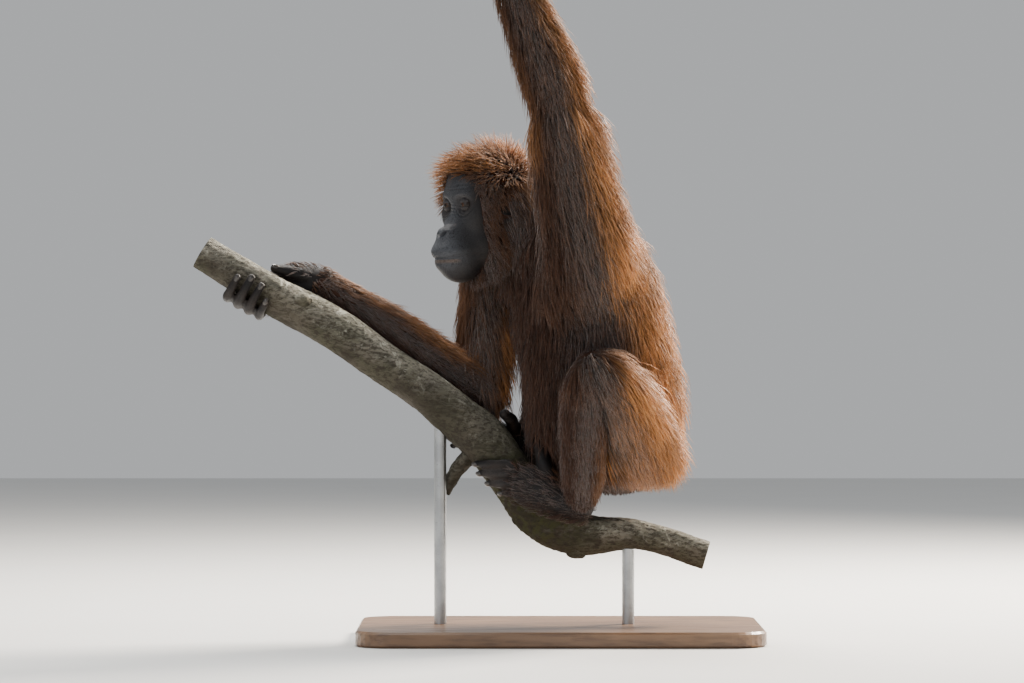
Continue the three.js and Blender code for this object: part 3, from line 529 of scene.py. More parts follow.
def knuckled(t, angle):
    """Swelling in mm at the joints of a digit, as two soft rings, with fine wrinkles across them."""
    joints = sum(np.exp(-(((t - at) / 0.045) ** 2)) for at in (0.36, 0.66))
    return joints * (0.7 + 0.3 * np.sin(t * 260)) * np.ones_like(angle)


def hand_parts(hand):
    """Palm, digits and thumb of a hand or foot, as forms."""
    palm = Form([at for at, _ in hand["palm"]], [half for _, half in hand["palm"]], hand["side"])
    thumb = Form([at for at, _ in hand["thumb"]], [half for _, half in hand["thumb"]], hand["grip"][1])
    return palm, [digit_form(hand, *digit) for digit in DIGITS], thumb


# Looks: node groups and materials


class Nodes:
    """Short calls to add and link the nodes of a material or a group."""

    def __init__(self, tree):
        self.tree = tree

    def put(self, socket, value):
        """Links another node's output to the socket, or sets its number, vector or colour."""
        if isinstance(value, bpy.types.NodeSocket):
            self.tree.links.new(value, socket)
        elif socket.type == "RGBA" and len(value) == 3:
            socket.default_value = (*value, 1.0)
        else:
            socket.default_value = value

    def add(self, kind, inputs=None, **settings):
        """A node, with its settings first and then its inputs."""
        node = self.tree.nodes.new(kind)
        for key, value in settings.items():
            setattr(node, key, value)
        for key, value in (inputs or {}).items():
            self.put(node.inputs[key], value)
        return node

    def ramp(self, value, *stops):
        """A colour ramp from a value; stops are (place, colour)."""
        node = self.add("ShaderNodeValToRGB", {"Fac": value})
        ends = node.color_ramp.elements
        while len(ends) < len(stops):
            ends.new(0.5)
        for end, (place, colour) in zip(ends, stops):
            end.position = place
            end.color = (*colour, 1.0)
        return node.outputs["Color"]

    def mix(self, share, a, b, blend="MIX"):
        """Two colours mixed by a share."""
        return self.add("ShaderNodeMix", {0: share, 6: a, 7: b}, data_type="RGBA", blend_type=blend).outputs[2]

    def math(self, operation, a, b=0.0):
        """One sum of two values."""
        return self.add("ShaderNodeMath", {0: a, 1: b}, operation=operation).outputs[0]

    def times(self, a, b):
        """The product of two values."""
        return self.math("MULTIPLY", a, b)

    def layer(self, base, colour, mask, amount=1.0):
        """The base with a colour over it, by a mask times an amount."""
        return self.mix(mask if amount == 1.0 else self.times(mask, amount), base, colour)

    def attribute(self, name):
        """A mesh attribute's value."""
        return self.add("ShaderNodeAttribute", attribute_name=name).outputs["Fac"]

    def stretched(self, scale, turn=0.0):
        """Object coordinates turned about Y by an angle in degrees and scaled on each axis."""
        inputs = {"Vector": self.place(), "Rotation": (0.0, math.radians(turn), 0.0), "Scale": scale}
        return self.add("ShaderNodeMapping", inputs).outputs["Vector"]

    def noise(self, scale, detail=4.0, vector=None, **more):
        """Noise on Object coordinates, or on another vector."""
        inputs = {"Scale": scale, "Detail": detail, **more}
        inputs["Vector"] = vector or self.place()
        return self.add("ShaderNodeTexNoise", inputs).outputs["Fac"]

    def place(self):
        """Object coordinates."""
        return self.add("ShaderNodeTexCoord").outputs["Object"]

    def between(self, value, low, high):
        """0 below low and 1 above high, or the other way round where low is the larger."""
        node = self.add("ShaderNodeMapRange", {"Value": value, "From Min": low, "From Max": high})
        node.interpolation_type = "SMOOTHSTEP"
        return node.outputs["Result"]

    def vector(self, operation, a, b):
        """One sum of two vectors: the outputs of its node."""
        return self.add("ShaderNodeVectorMath", {0: a, 1: tuple(b)}, operation=operation).outputs

    def near(self, centre, radius, soft):
        """A mask: 1 within the radius of a point in metres, 0 past the soft edge."""
        return self.between(self.vector("DISTANCE", self.place(), centre)["Value"], radius + soft, radius)

    def near_on_head(self, centre, radius, soft):
        """The same mask round a point of the head's own frame in millimetres."""
        return self.near(from_head(centre) * MM, radius, soft)


def blotch_group():
    """Node group: a colour shifted towards a second one in soft blotches, and a fine bump height."""
    if "Blotches" in bpy.data.node_groups:
        return bpy.data.node_groups["Blotches"]
    tree = bpy.data.node_groups.new("Blotches", "ShaderNodeTree")
    for name, way, kind in (
        ("Colour", "INPUT", "Color"), ("Second", "INPUT", "Color"), ("Scale", "INPUT", "Float"),
        ("Amount", "INPUT", "Float"), ("Colour", "OUTPUT", "Color"), ("Height", "OUTPUT", "Float"),
    ):
        tree.interface.new_socket(name, in_out=way, socket_type="NodeSocket" + kind)
    nodes = Nodes(tree)
    given = nodes.add("NodeGroupInput").outputs
    noise = nodes.noise(given["Scale"], 5.0)
    share = nodes.times(nodes.between(noise, 0.38, 0.66), given["Amount"])
    colour = nodes.mix(share, given["Colour"], given["Second"])
    nodes.add("NodeGroupOutput", {"Colour": colour, "Height": noise})
    return tree


def new_material(name, roughness, **sockets):
    """A Principled material: its nodes and shader, with constants set on the shader's sockets."""
    material = bpy.data.materials.new(name)
    material.use_nodes = True
    nodes = Nodes(material.node_tree)
    shader = material.node_tree.nodes["Principled BSDF"]
    shader.inputs["Roughness"].default_value = roughness
    for key, value in sockets.items():
        shader.inputs[key.replace("_", " ")].default_value = value
    return material, nodes, shader


def blotched(nodes, colour, second, scale, amount=1.0):
    """The blotch group placed in a material: its colour and height outputs."""
    inputs = {"Colour": colour, "Second": second, "Scale": scale, "Amount": amount}
    group = nodes.add("ShaderNodeGroup", inputs, node_tree=blotch_group())
    return group.outputs["Colour"], group.outputs["Height"]


def dressed(nodes, shader, base, roughness=None, bump=None):
    """Puts a colour, a roughness and a bump, (height, strength, distance), on the shader."""
    nodes.put(shader.inputs["Base Color"], base)
    if roughness is not None:
        nodes.put(shader.inputs["Roughness"], roughness)
    if bump:
        node = nodes.add("ShaderNodeBump", dict(zip(("Height", "Strength", "Distance"), bump)))
        nodes.put(shader.inputs["Normal"], node.outputs["Normal"])


def skin_material(look):
    """Bare skin: black-brown, with a blue-grey muzzle that also carries a painted sheen on nose and upper lip, a
    painted highlight on the brow, painted shade on the cheeks, pale eye rings and a pale lower lip.
    """
    material, nodes, shader = new_material("skin", 0.6, Specular_IOR_Level=0.2)
    pale = tuple(look.skin_pale)
    base, height = blotched(nodes, tuple(look.skin_dark), tuple(look.skin_brown), 30.0, 0.7)
    # Painted light: the muzzle mask gives the muzzle its own blue-grey together with a painted bluish sheen on the
    # nose and upper lip, and the brow mask paints a highlight on the brow.
    muzzle = nodes.near_on_head((92, 0, -42), 0.036, 0.06)
    brow = nodes.near_on_head((72, 0, 36), 0.03, 0.035)
    grey = nodes.math("MAXIMUM", nodes.times(muzzle, 0.85), nodes.times(brow, 0.6))
    base = nodes.layer(base, tuple(look.skin_face), grey)
    base = nodes.layer(base, (0.050, 0.043, 0.040), nodes.near(LEFT_TOES_AT, 0.022, 0.02), 0.6)
    for side in (1, -1):
        # Painted shade on the cheeks.
        painted_cheek_shade = nodes.near_on_head((42, 62 * side, -34), 0.03, 0.042)
        base = nodes.layer(base, (0.014, 0.0125, 0.0125), painted_cheek_shade, 0.78)
        eye = nodes.near_on_head(eye_middle(side) + (12, 0, -1), 0.012, 0.012)
        base = nodes.layer(base, pale, eye, 0.16)
    offset = nodes.vector("SUBTRACT", nodes.place(), HEAD_AT * MM)["Vector"]
    up = nodes.vector("DOT_PRODUCT", offset, HEAD_AXES[2])["Value"]
    edge = (MOUTH_UP - 1.0) * MM
    lip = nodes.times(nodes.between(up, edge, edge - 0.001), nodes.between(up, edge - 0.009, edge - 0.003))
    lip = nodes.times(lip, nodes.near_on_head((96, 0, MOUTH_UP), 0.035, 0.012))
    base = nodes.layer(base, pale, lip, 0.85)
    cells = nodes.add("ShaderNodeTexVoronoi", {"Vector": nodes.place(), "Scale": 420.0}, feature="DISTANCE_TO_EDGE")
    cells = cells.outputs["Distance"]
    base = nodes.layer(base, (0.008, 0.007, 0.008), nodes.between(cells, 0.12, 0.0))
    under_hair = nodes.mix(height, (0.020, 0.007, 0.004), (0.050, 0.018, 0.009))
    base = nodes.layer(base, under_hair, nodes.attribute("furred"))
    roughness = nodes.math("SUBTRACT", nodes.between(height, -0.7, 1.6), nodes.times(muzzle, 0.08))
    fine = nodes.math("ADD", nodes.times(cells, 1.5), nodes.noise(160.0, 3.0))
    dressed(nodes, shader, base, roughness, (fine, 0.45, 0.0014))
    return material


def hair_material(look):
    """Hair: dark red-brown at the roots to orange at the ends, mixed from a painted-shade ramp to a painted-sunlit
    ramp by a per-tuft attribute that holds the coat's own orange and painted rim and back light.
    """
    material, nodes, shader = new_material("hair", 0.5, Sheen_Weight=0.25, Sheen_Roughness=0.4,
                                           Specular_IOR_Level=0.3)
    along, dark, orange = nodes.attribute("along"), tuple(look.hair_dark), tuple(look.hair_orange)
    # shaded is a painted-shade ramp and sunny a painted-sunlit ramp; the per-tuft attribute of own orange and painted
    # rim light mixes them.
    shaded = nodes.ramp(along, (0.0, (0.012, 0.005, 0.003)), (0.35, dark), (1.0, tuple(v * 2.1 for v in dark)))
    sunny = nodes.ramp(along, (0.0, (0.03, 0.01, 0.004)), (0.4, tuple(v * 0.55 for v in orange)), (1.0, orange))
    base = nodes.mix(nodes.attribute("orange_and_painted_light"), shaded, sunny)
    patches, height = blotched(nodes, base, nodes.mix(0.55, base, dark), 9.0, 0.8)
    tone = nodes.ramp(nodes.attribute("tone"), (0.0, (0.5, 0.46, 0.44)), (0.5, (1.0, 1.0, 1.0)),
                      (1.0, (1.45, 1.35, 1.25)))
    dressed(nodes, shader, nodes.mix(1.0, patches, tone, "MULTIPLY"), nodes.between(height, -0.6, 1.4))
    return material


def eye_material():
    """A dark brown iris with a black pupil in a brown-black eyeball, under a faint wet coat."""
    material, nodes, shader = new_material("eye", 0.3, Specular_IOR_Level=0.15, Coat_Weight=0.2, Coat_Roughness=0.03)
    base = (0.012, 0.007, 0.005)
    for side in (1, -1):
        front = eye_middle(side) + (EYE_RADIUS, -1.5 * side, -0.5)
        iris = nodes.mix(nodes.noise(900.0, 3.0), (0.022, 0.009, 0.004), (0.055, 0.022, 0.008))
        base = nodes.layer(base, iris, nodes.near_on_head(front, 0.0060, 0.0008))
        base = nodes.layer(base, (0.002, 0.002, 0.002), nodes.near_on_head(front, 0.0026, 0.0005))
    dressed(nodes, shader, base)
    return material


def nail_material():
    """Nails: grey-black horn with fine blotches."""
    material, nodes, shader = new_material("nail", 0.35, Coat_Weight=0.2)
    base, height = blotched(nodes, (0.018, 0.015, 0.014), (0.045, 0.036, 0.030), 300.0)
    dressed(nodes, shader, base, bump=(height, 0.2, 0.0005))
    return material


def bark_material(look):
    """Bark: grey-brown and greenish patches, lichen on top, painted shade below and a painted shadow of the animal
    beside the foot, mossy burl.
    """
    material, nodes, shader = new_material("bark", 0.92, Specular_IOR_Level=0.2)
    along = nodes.stretched((0.4, 1.0, 1.0), -33)
    patch = nodes.noise(26.0, 6.0, along, Roughness=0.62, Distortion=0.5)
    light, lichen = tuple(look.bark_light), tuple(look.lichen)
    base, height = blotched(nodes, tuple(look.bark_dark), light, 12.0)
    normal = nodes.add("ShaderNodeTexCoord").outputs["Normal"]
    up = nodes.add("ShaderNodeSeparateXYZ", {"Vector": normal}).outputs["Z"]
    top = nodes.between(up, -0.5, 0.75)
    speckle = nodes.noise(190.0, 8.0, along, Roughness=0.8)
    crust = nodes.between(nodes.noise(38.0, 8.0, Roughness=0.75, Distortion=0.8), 0.56, 0.61)
    burl = nodes.near((-0.04, 0.0, 0.26), 0.06, 0.09)
    moss = nodes.times(nodes.between(nodes.noise(70.0, 8.0, Roughness=0.7), 0.44, 0.58), burl)
    for colour, mask, amount in (
        (light, nodes.between(patch, 0.40, 0.62), 0.6),
        ((0.040, 0.031, 0.022), nodes.between(patch, 0.47, 0.36), 1.0),
        (lichen, top, 0.4),
        # Painted shade on the underside of the branch.
        ((0.042, 0.038, 0.026), nodes.between(up, 0.35, -0.55), 0.6),
        ((0.075, 0.080, 0.045), nodes.between(nodes.noise(16.0, 4.0), 0.42, 0.62), 0.35),
        ((0.030, 0.024, 0.018), nodes.between(speckle, 0.55, 0.42), 0.8),
        (lichen, nodes.times(crust, top), 0.85),
        # Painted shadow of the animal on the branch beside the foot.
        ((0.034, 0.029, 0.021), nodes.near((-0.15, 0.0, 0.34), 0.10, 0.20), 0.5),
        ((0.026, 0.021, 0.014), burl, 0.7),
        ((0.055, 0.056, 0.024), moss, 0.85),
    ):
        base = nodes.layer(base, colour, mask, amount)
    rough = nodes.math("ADD", speckle, nodes.times(patch, 1.5))
    dressed(nodes, shader, base, bump=(nodes.math("ADD", rough, height), 0.9, 0.005))
    return material


def wood_material():
    """Cut wood: rings for the branch ends, with darker blotches."""
    material, nodes, shader = new_material("cut wood", 0.7)
    wave = nodes.add("ShaderNodeTexWave", {"Vector": nodes.place(), "Scale": 60.0, "Distortion": 5.0, "Detail": 3.0})
    base, height = blotched(nodes, nodes.mix(wave.outputs["Fac"], (0.34, 0.23, 0.12), (0.46, 0.34, 0.2)),
                            (0.2, 0.13, 0.07), 40.0)
    dressed(nodes, shader, base, bump=(height, 0.3, 0.001))
    return material


def board_material():
    """The board: varnished wood with its grain along X."""
    material, nodes, shader = new_material("board wood", 0.38, Coat_Weight=0.25)
    place = nodes.stretched((0.12, 1.0, 1.0))
    wave = nodes.add("ShaderNodeTexWave", {"Vector": place, "Scale": 9.0, "Distortion": 7.0, "Detail": 4.0},
                     bands_direction="Y")
    grain = nodes.noise(120.0, 6.0, place)
    base = nodes.layer((0.20, 0.105, 0.05), (0.1, 0.05, 0.024), wave.outputs["Fac"], 0.6)
    base = nodes.layer(base, (0.075, 0.036, 0.018), nodes.between(grain, 0.45, 0.7))
    base, _ = blotched(nodes, base, (0.25, 0.14, 0.07), 6.0, 0.35)
    dressed(nodes, shader, base, nodes.between(grain, -0.6, 1.9), (grain, 0.12, 0.0006))
    return material


def steel_material():
    """Rods: brushed steel with fine rings round them."""
    material, nodes, shader = new_material("brushed steel", 0.3, Metallic=1.0)
    lines = nodes.noise(1500.0, 2.0, nodes.stretched((0.05, 0.05, 1.0)))
    base, _ = blotched(nodes, (0.42, 0.43, 0.44), (0.33, 0.34, 0.35), 30.0)
    dressed(nodes, shader, base, nodes.between(lines, -0.8, 2.4), (lines, 0.1, 0.0003))
    return material


# The coat


COAT = {
    # form: (tufts, length in mm, width in mm, lift, lie, how orange of its own, how much painted rim light)
    "torso": (16000, 92, 2.3, 0.42, (0.10, 0, -1.0), 0.03, 0.92),
    "neck": (3400, 74, 2.2, 0.34, (0.35, 0, -1.0), 0.03, 0.75),
    "upper_arm_left": (7000, 96, 2.2, 0.55, (0.30, 0, -1.0), 0.05, 0.9),
    "forearm_left": (4700, 66, 1.9, 0.48, (0.30, 0, -1.0), 0.06, 0.7),
    "upper_arm_right": (4500, 76, 2.1, 0.34, (0.15, 0, -1.0), 0.06, 0.5),
    "forearm_right": (4200, 52, 1.8, 0.30, (0.80, 0, -0.55), 0.01, 0.38),
    "thigh_left": (5500, 86, 2.2, 0.36, (0.42, 0.1, -1.0), 0.06, 0.85),
    "shin_left": (3500, 54, 1.9, 0.24, (0.05, 0, -1.0), 0.02, 0.2),
    "thigh_right": (4300, 80, 2.2, 0.34, (0.42, -0.1, -1.0), 0.06, 0.8),
    "shin_right": (2700, 54, 1.9, 0.24, (0.05, 0, -1.0), 0.02, 0.2),
    "head": (7600, 48, 1.7, 0.42, None, 0.16, 0.84),
    "hands": (3000, 18, 1.3, 0.30, None, 0.0, 0.15),
}
STRAND_STEPS = 4
BACKWARD = unit(np.array([0.92, 0.15, 0.3]))
TUFT_PROFILE = np.array([0.55, 1.0, 0.85, 0.55])
TUFTS_IN_PIECE = 8600
CLUMP_CELL = 17.0
CLUMP_PULL = np.array([0.0, 0.12, 0.3, 0.48, 0.62]) * 0.8
BAKE_PATCH = 0.003
HEAD_HAIR_REACH = 150.0  # mm from the head's middle
HAND_HAIR_REACH = 1.4  # in half sizes of the palm
HAND_HAIR_FACING = -0.35  # least share of the normal that points away from the branch
RUMP_UNDERSIDE = 262.0  # mm above the board's underside
THROAT_HAIR_UP = -118  # mm, the lowest in the head's frame
FACE_HAIR_CLEAR = 90  # mm from the head's middle, where neck and torso grow no hair before the face
HANDS_FROM_HEAD = 160  # mm, so that the hands' hair isn't put on the face
FAR_SIDE = (185, 225)  # mm in Y, from where the hair gets shorter to where it is shortest


def scatter(verts, tris, count, weight, rng):
    """Random points on triangles, as many on an area as weight says there, with their normals."""
    a, b, c = verts[tris[:, 0]], verts[tris[:, 1]], verts[tris[:, 2]]
    cross = np.cross(b - a, c - a)
    chance = np.linalg.norm(cross, axis=1) * weight
    pick = rng.choice(len(tris), count, p=chance / chance.sum())
    u, v = rng.random(count), rng.random(count)
    over = u + v > 1
    u, v = np.where(over, 1 - u, u)[:, None], np.where(over, 1 - v, v)[:, None]
    return a[pick] + (b - a)[pick] * u + (c - a)[pick] * v, unit(cross[pick])


def nearest_form(points, forms):
    """The form whose axis is nearest for its size, the share of its path and the nearness."""
    best = np.full(len(points), 1e9)
    which = np.zeros(len(points), int)
    share = np.zeros(len(points))
    for number, form in enumerate(forms):
        t = np.linspace(0, 1, 21)
        centre, _, _, _, a, b = form.section(t)
        for k in range(21):
            reach = np.linalg.norm(points - centre[k], axis=1) / ((a[k] + b[k]) / 2)
            closer = reach < best
            best = np.where(closer, reach, best)
            which = np.where(closer, number, which)
            share = np.where(closer, t[k], share)
    return which, share, best


def pushed_out(points, target, offset):
    """The points moved out of the target's surface to at least the offset in mm, by Shrinkwrap."""
    mesh = bpy.data.meshes.new("comb")
    mesh.from_pydata((points * MM).tolist(), [], [])
    helper = bpy.data.objects.new("comb", mesh)
    bpy.context.scene.collection.objects.link(helper)
    modifier = helper.modifiers.new("push", "SHRINKWRAP")
    modifier.target = target
    modifier.wrap_mode = "OUTSIDE"
    modifier.offset = offset * MM
    bpy.context.view_layer.update()
    evaluated = helper.evaluated_get(bpy.context.evaluated_depsgraph_get())
    result = points_of(evaluated.data)
    bpy.data.objects.remove(helper)
    bpy.data.meshes.remove(mesh)
    return result


def head_lie(points):
    """Lie on the head: away from the whorl on the crown, down at the sides and nape, out at the temples."""
    local = to_head(points)
    crown = smooth(25, 80, local[:, 2])[:, None]
    ahead = np.clip((local[:, 0] + 62) * 0.02, -0.7, 1.1)
    rise = 0.25 + 0.2 * flowing_noise(points, 40, 9) + 0.5 * whorl(points)
    top = np.stack([ahead, local[:, 1] * 0.010, rise], 1)
    flare = temple(points)
    side = np.stack([flare - 0.25, local[:, 1] * (0.003 + 0.009 * flare), 0.7 * flare - 1.0], 1)
    return unit(top * crown + side * (1 - crown)) @ HEAD_AXES


def whorl(points):
    """Share, 1 at the whorl on the back of the crown and 0 at 45 mm from it."""
    local = to_head(points)
    return np.where(local[:, 2] > 0, smooth(45, 12, np.hypot(local[:, 0] + 62, local[:, 1] / 1.5)), 0.0)


def temple(points):
    """Share of the forward flare of the side hair beside the brow, fuller on the far side."""
    ahead, left, up = to_head(points).T
    return smooth(0, 30, ahead) * smooth(-5, 30, up) * np.where(left < 0, 1.0, 0.45)


def bare_face(points):
    """True where the face or a patch round an ear has no long hair."""
    ahead, left, up = to_head(points).T
    ear = (np.hypot(ahead - EAR_AT[0], up - EAR_AT[2]) < 17) & (np.abs(left) > 40)
    edge = 25 + 13 * smooth(-85, 10, up) + 6 * smooth(-95, -120, up)
    return ear | ((ahead > edge) & (up < 70 - 0.008 * left**2))


def strands(roots, normals, lie, length, lift, target, rng):
    """Paths of the tufts, (count, steps + 1, 3): each step goes along the lie, and out less and less.

    A step's direction is the lie's part along the surface, with the lift times the normal that fades
    to the tip, some of the lie itself for the hang, and a little noise. Points that come too near
    the skin are pushed out. The tips are then drawn together in clumps.
    """
    flat = unit(lie - normals * np.sum(lie * normals, axis=1, keepdims=True) * 0.85)
    path = np.empty((len(roots), STRAND_STEPS + 1, 3))
    path[:, 0] = roots - normals * 2.0
    stray = rng.normal(size=roots.shape) * 0.16
    for k in range(1, STRAND_STEPS + 1):
        share = k / STRAND_STEPS
        rise = (lift * (1.5 - 1.35 * share))[:, None]
        way = unit(flat * (1 - 0.45 * share) + lie * 0.55 * share + normals * rise + stray * share)
        point = path[:, k - 1] + way * (length / STRAND_STEPS)[:, None]
        path[:, k] = pushed_out(point, target, 2.5 + 7.0 * share)
    cell = np.floor(roots / CLUMP_CELL).astype(np.int64)
    key = cell[:, 0] * 73856093 ^ cell[:, 1] * 19349663 ^ cell[:, 2] * 83492791
    _, group = np.unique(key, return_inverse=True)
    group = group.reshape(-1)
    size = np.bincount(group)[:, None, None]
    mean = np.zeros((size.shape[0], STRAND_STEPS + 1, 3))
    np.add.at(mean, group, path)
    mean = (mean / size)[group]
    pull = CLUMP_PULL[None, :, None] * rng.uniform(0.35, 1.0, len(roots))[:, None, None]
    return path + (mean - path) * pull


def bake_corner(which, share, angle):
    """Place on the unwrap for baking: a tile for each form, with the angle and the share in it."""
    in_tile = 0.03 + 0.93 * np.stack([angle / (2 * math.pi) % 1, np.clip(share, 0, 1)], -1)
    return (np.stack([which % 4, which // 4], -1) + in_tile) / 4


def tuft_mesh(name, path, normals, width, tone, orange_and_painted_light, corner, material):
    """Tufts as three-sided tapered spikes along their paths, with their attributes and OFBake map."""
    count = len(path)
    step = np.gradient(path, axis=1)
    along = unit(step)
    across = unit(np.cross(along, np.repeat(normals[:, None], STRAND_STEPS + 1, 1)))
    out = np.cross(across, along)
    angle = np.radians([90, 210, 330])
    size = (TUFT_PROFILE[None, :] * width[:, None])[:, :, None, None] / 2
    ring = across[:, :-1, None] * np.cos(angle)[:, None] * 1.15 + out[:, :-1, None] * np.sin(angle)[:, None] * 0.7
    sides = (path[:, :-1, None] + ring * size).reshape(count, -1, 3)
    verts = np.concatenate([sides, path[:, -1:]], 1).reshape(-1, 3)
    per = STRAND_STEPS * 3 + 1
    quads = []
    for k in range(STRAND_STEPS - 1):
        for j in range(3):
            n = (j + 1) % 3
            quads.append((3 * k + j, 3 * k + n, 3 * k + 3 + n, 3 * k + 3 + j))
    top = 3 * (STRAND_STEPS - 1)
    tips = [(top + j, top + (j + 1) % 3, per - 1) for j in range(3)]
    tips.append((2, 1, 0))
    start = (np.arange(count) * per)[:, None, None]
    faces = [(np.array(quads)[None] + start).reshape(-1, 4), (np.array(tips)[None] + start).reshape(-1, 3)]
    thing = make_object(name, verts, faces)
    mesh = thing.data
    share = np.append(np.repeat(np.arange(STRAND_STEPS) / STRAND_STEPS, 3), 1.0)
    for key, values in (("along", np.tile(share, count)), ("tone", np.repeat(tone, per)),
                        ("orange_and_painted_light", np.repeat(orange_and_painted_light, per))):
        mesh.attributes.new(key, "FLOAT", "POINT").data.foreach_set("value", values.astype(np.float32))
    patch = np.stack([np.append(np.tile([0.0, 0.5, 1.0], STRAND_STEPS), 0.5), share], -1) * BAKE_PATCH
    uv = (corner[:, None, :] + patch[None]).reshape(-1, 2)
    loops = fetched(mesh.loops, "vertex_index")
    mesh.uv_layers.new(name="OFBake").data.foreach_set("uv", uv[loops].astype(np.float32).ravel())
    mesh.materials.append(material)
    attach(thing, "root")
    return thing


# Settings


class SkinSettings(bpy.types.PropertyGroup):
    """Sizes and colours of the skin."""

    voxel: FloatProperty(name="Body grain", description="Voxel size of the body's skin in metres", default=0.0052,
                         unit="LENGTH")
    hand_voxel: FloatProperty(name="Hand grain", description="Voxel size of hands and feet in metres",
                              default=0.0024, unit="LENGTH")
    skin_dark: FloatVectorProperty(name="Skin", description="Main skin colour", subtype="COLOR",
                                   default=(0.011, 0.0095, 0.0095))
    skin_brown: FloatVectorProperty(name="Brown patches", description="Colour of the browner patches",
                                    subtype="COLOR", default=(0.026, 0.018, 0.014))
    # skin_face is the muzzle's own blue-grey, with a painted sheen on nose and upper lip and a painted highlight on
    # the brow.
    skin_face: FloatVectorProperty(name="Face", description="Blue-grey of the muzzle and nose", subtype="COLOR",
                                   default=(0.074, 0.080, 0.092))
    skin_pale: FloatVectorProperty(name="Pale skin", description="Colour round the eyes and on the lip",
                                   subtype="COLOR", default=(0.13, 0.095, 0.075))


class CoatSettings(bpy.types.PropertyGroup):
    """Sizes and colours of the coat."""

    density: FloatProperty(name="Density", description="Share of the full number of tufts", default=1.0)
    seed: IntProperty(name="Seed", description="Seed of the random draws", default=7)
    # hair_dark colours the painted-shade ramp of the coat, and its darker blotches.
    hair_dark: FloatVectorProperty(name="Dark hair", description="Hair colour in the dark parts", subtype="COLOR",
                                   default=(0.026, 0.0105, 0.0062))
    # hair_orange colours the painted-sunlit ramp: the coat's own orange and its painted rim and back light.
    hair_orange: FloatVectorProperty(name="Orange hair", description="Colour of the ends on the back",
                                     subtype="COLOR", default=(0.70, 0.31, 0.10))


class BranchSettings(bpy.types.PropertyGroup):
    """Colours of the bark."""

    bark_dark: FloatVectorProperty(name="Dark bark", description="Darker bark", subtype="COLOR",
                                   default=(0.075, 0.062, 0.047))
    bark_light: FloatVectorProperty(name="Light bark", description="Lighter bark", subtype="COLOR",
                                    default=(0.20, 0.175, 0.135))
    lichen: FloatVectorProperty(name="Lichen", description="Lichen patches", subtype="COLOR",
                                default=(0.42, 0.41, 0.34))


class StudioSettings(bpy.types.PropertyGroup):
    """Camera and light of the studio."""

    lens: FloatProperty(name="Lens", description="Focal length in millimetres", default=150.0)
    distance: FloatProperty(name="Distance", description="Camera to the middle plane", default=7.63, unit="LENGTH")
    back_light: FloatProperty(name="Back light", description="Power of the warm back light in watts", default=680.0)
    fill_light: FloatProperty(name="Fill light", description="Power of the front fill in watts", default=48.0)


def look(name):
    """The settings group of that name in this scene."""
    return getattr(bpy.context.scene, "orangutan_" + name)


# Operators


class BuildSkin(bpy.types.Operator):
    """Builds the one skin over head, body, hands and feet, with ears and lids."""

    bl_idname = "orangutan.skin"
    bl_label = "Skin"

    def execute(self, context):
        settings = look("skin")
        pieces = [melted(solid("trunk", [form.surface() for form in BODY.values()]), settings.voxel)]
        for name, hand in HANDS.items():
            palm, digits, thumb = hand_parts(hand)
            grids = [palm.surface(40, 40), thumb.surface(28, 50, 6, swell=knuckled)]
            inset = TOE_INSET if name.startswith("foot") else FINGER_INSET
            grids += [digit.surface(26, 110, 6, inset, knuckled) for digit in digits]
            pieces.append(melted(solid(name + "_skin", grids), settings.hand_voxel))
        pieces.append(solid("face", [head_grid()]))
        for side in (1, -1):
            pieces.append(solid("ear", [ear_grid(side)]))
            pieces += [solid("lid", [lid_grid(side, lid)]) for lid in (1, -1)]
        skin = make_object("skin", *joined([(points_of(p.data), faces_of(p.data)) for p in pieces]))
        skin["trunk_points"] = len(pieces[0].data.vertices)
        for piece in pieces:
            bpy.data.objects.remove(piece)
        points = points_of(skin.data)
        furred = (np.linalg.norm(to_head(points), axis=1) < HEAD_HAIR_REACH) & ~bare_face(points)
        furred[: skin["trunk_points"]] = True
        attribute = skin.data.attributes.new("furred", "FLOAT", "POINT")
        attribute.data.foreach_set("value", furred.astype(np.float32))
        skin.data.materials.append(skin_material(settings))
        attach(skin, "root")
        flesh = [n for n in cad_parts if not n.startswith(("stand_", "perch_", "eye_"))]
        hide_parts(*flesh)
        return {"FINISHED"}


def ear_grid(side, around=48, rings=40):
    """An ear: a shallow cup. A half circle's profile runs over its back, its rolled rim and its bowl.

    The radius grows to 20 mm at the rim and comes back to 0 in the bowl, the height follows, and the
    outline is an oval, higher than wide.
    """
    share = np.linspace(0, 1, rings + 1)
    profile = np.array([(0, -5, 0), (12, -3.5, 0), (18.5, 2, 0), (20.5, 7, 0), (19, 9.6, 0), (16, 7.2, 0),
                        (12.5, 4.5, 0), (8, 4.6, 0), (4, 0.5, 0), (0, 0.2, 0)], float)
    radius, height, _ = spline(profile, share).T
    angle = turns(around)
    radius, height = np.maximum(radius, 0)[:, None], height[:, None]
    lobe = 1 - 0.12 * np.maximum(-np.sin(angle), 0) ** 2
    out = (height + 4.5) * np.cos(math.radians(38)) + radius * np.cos(angle) * 0.30
    local = np.stack([EAR_AT[0] - radius * np.cos(angle) * 0.66 - height * 0.25,
                      side * (EAR_AT[1] - 2 + out), EAR_AT[2] + radius * np.sin(angle) * lobe], -1)
    return from_head(local)


LID_OPEN = {1: 15.0, -1: -19.0}  # degrees from the level line to each lid's edge
LID_BACK = 62.0  # degrees to where it ends inside the socket


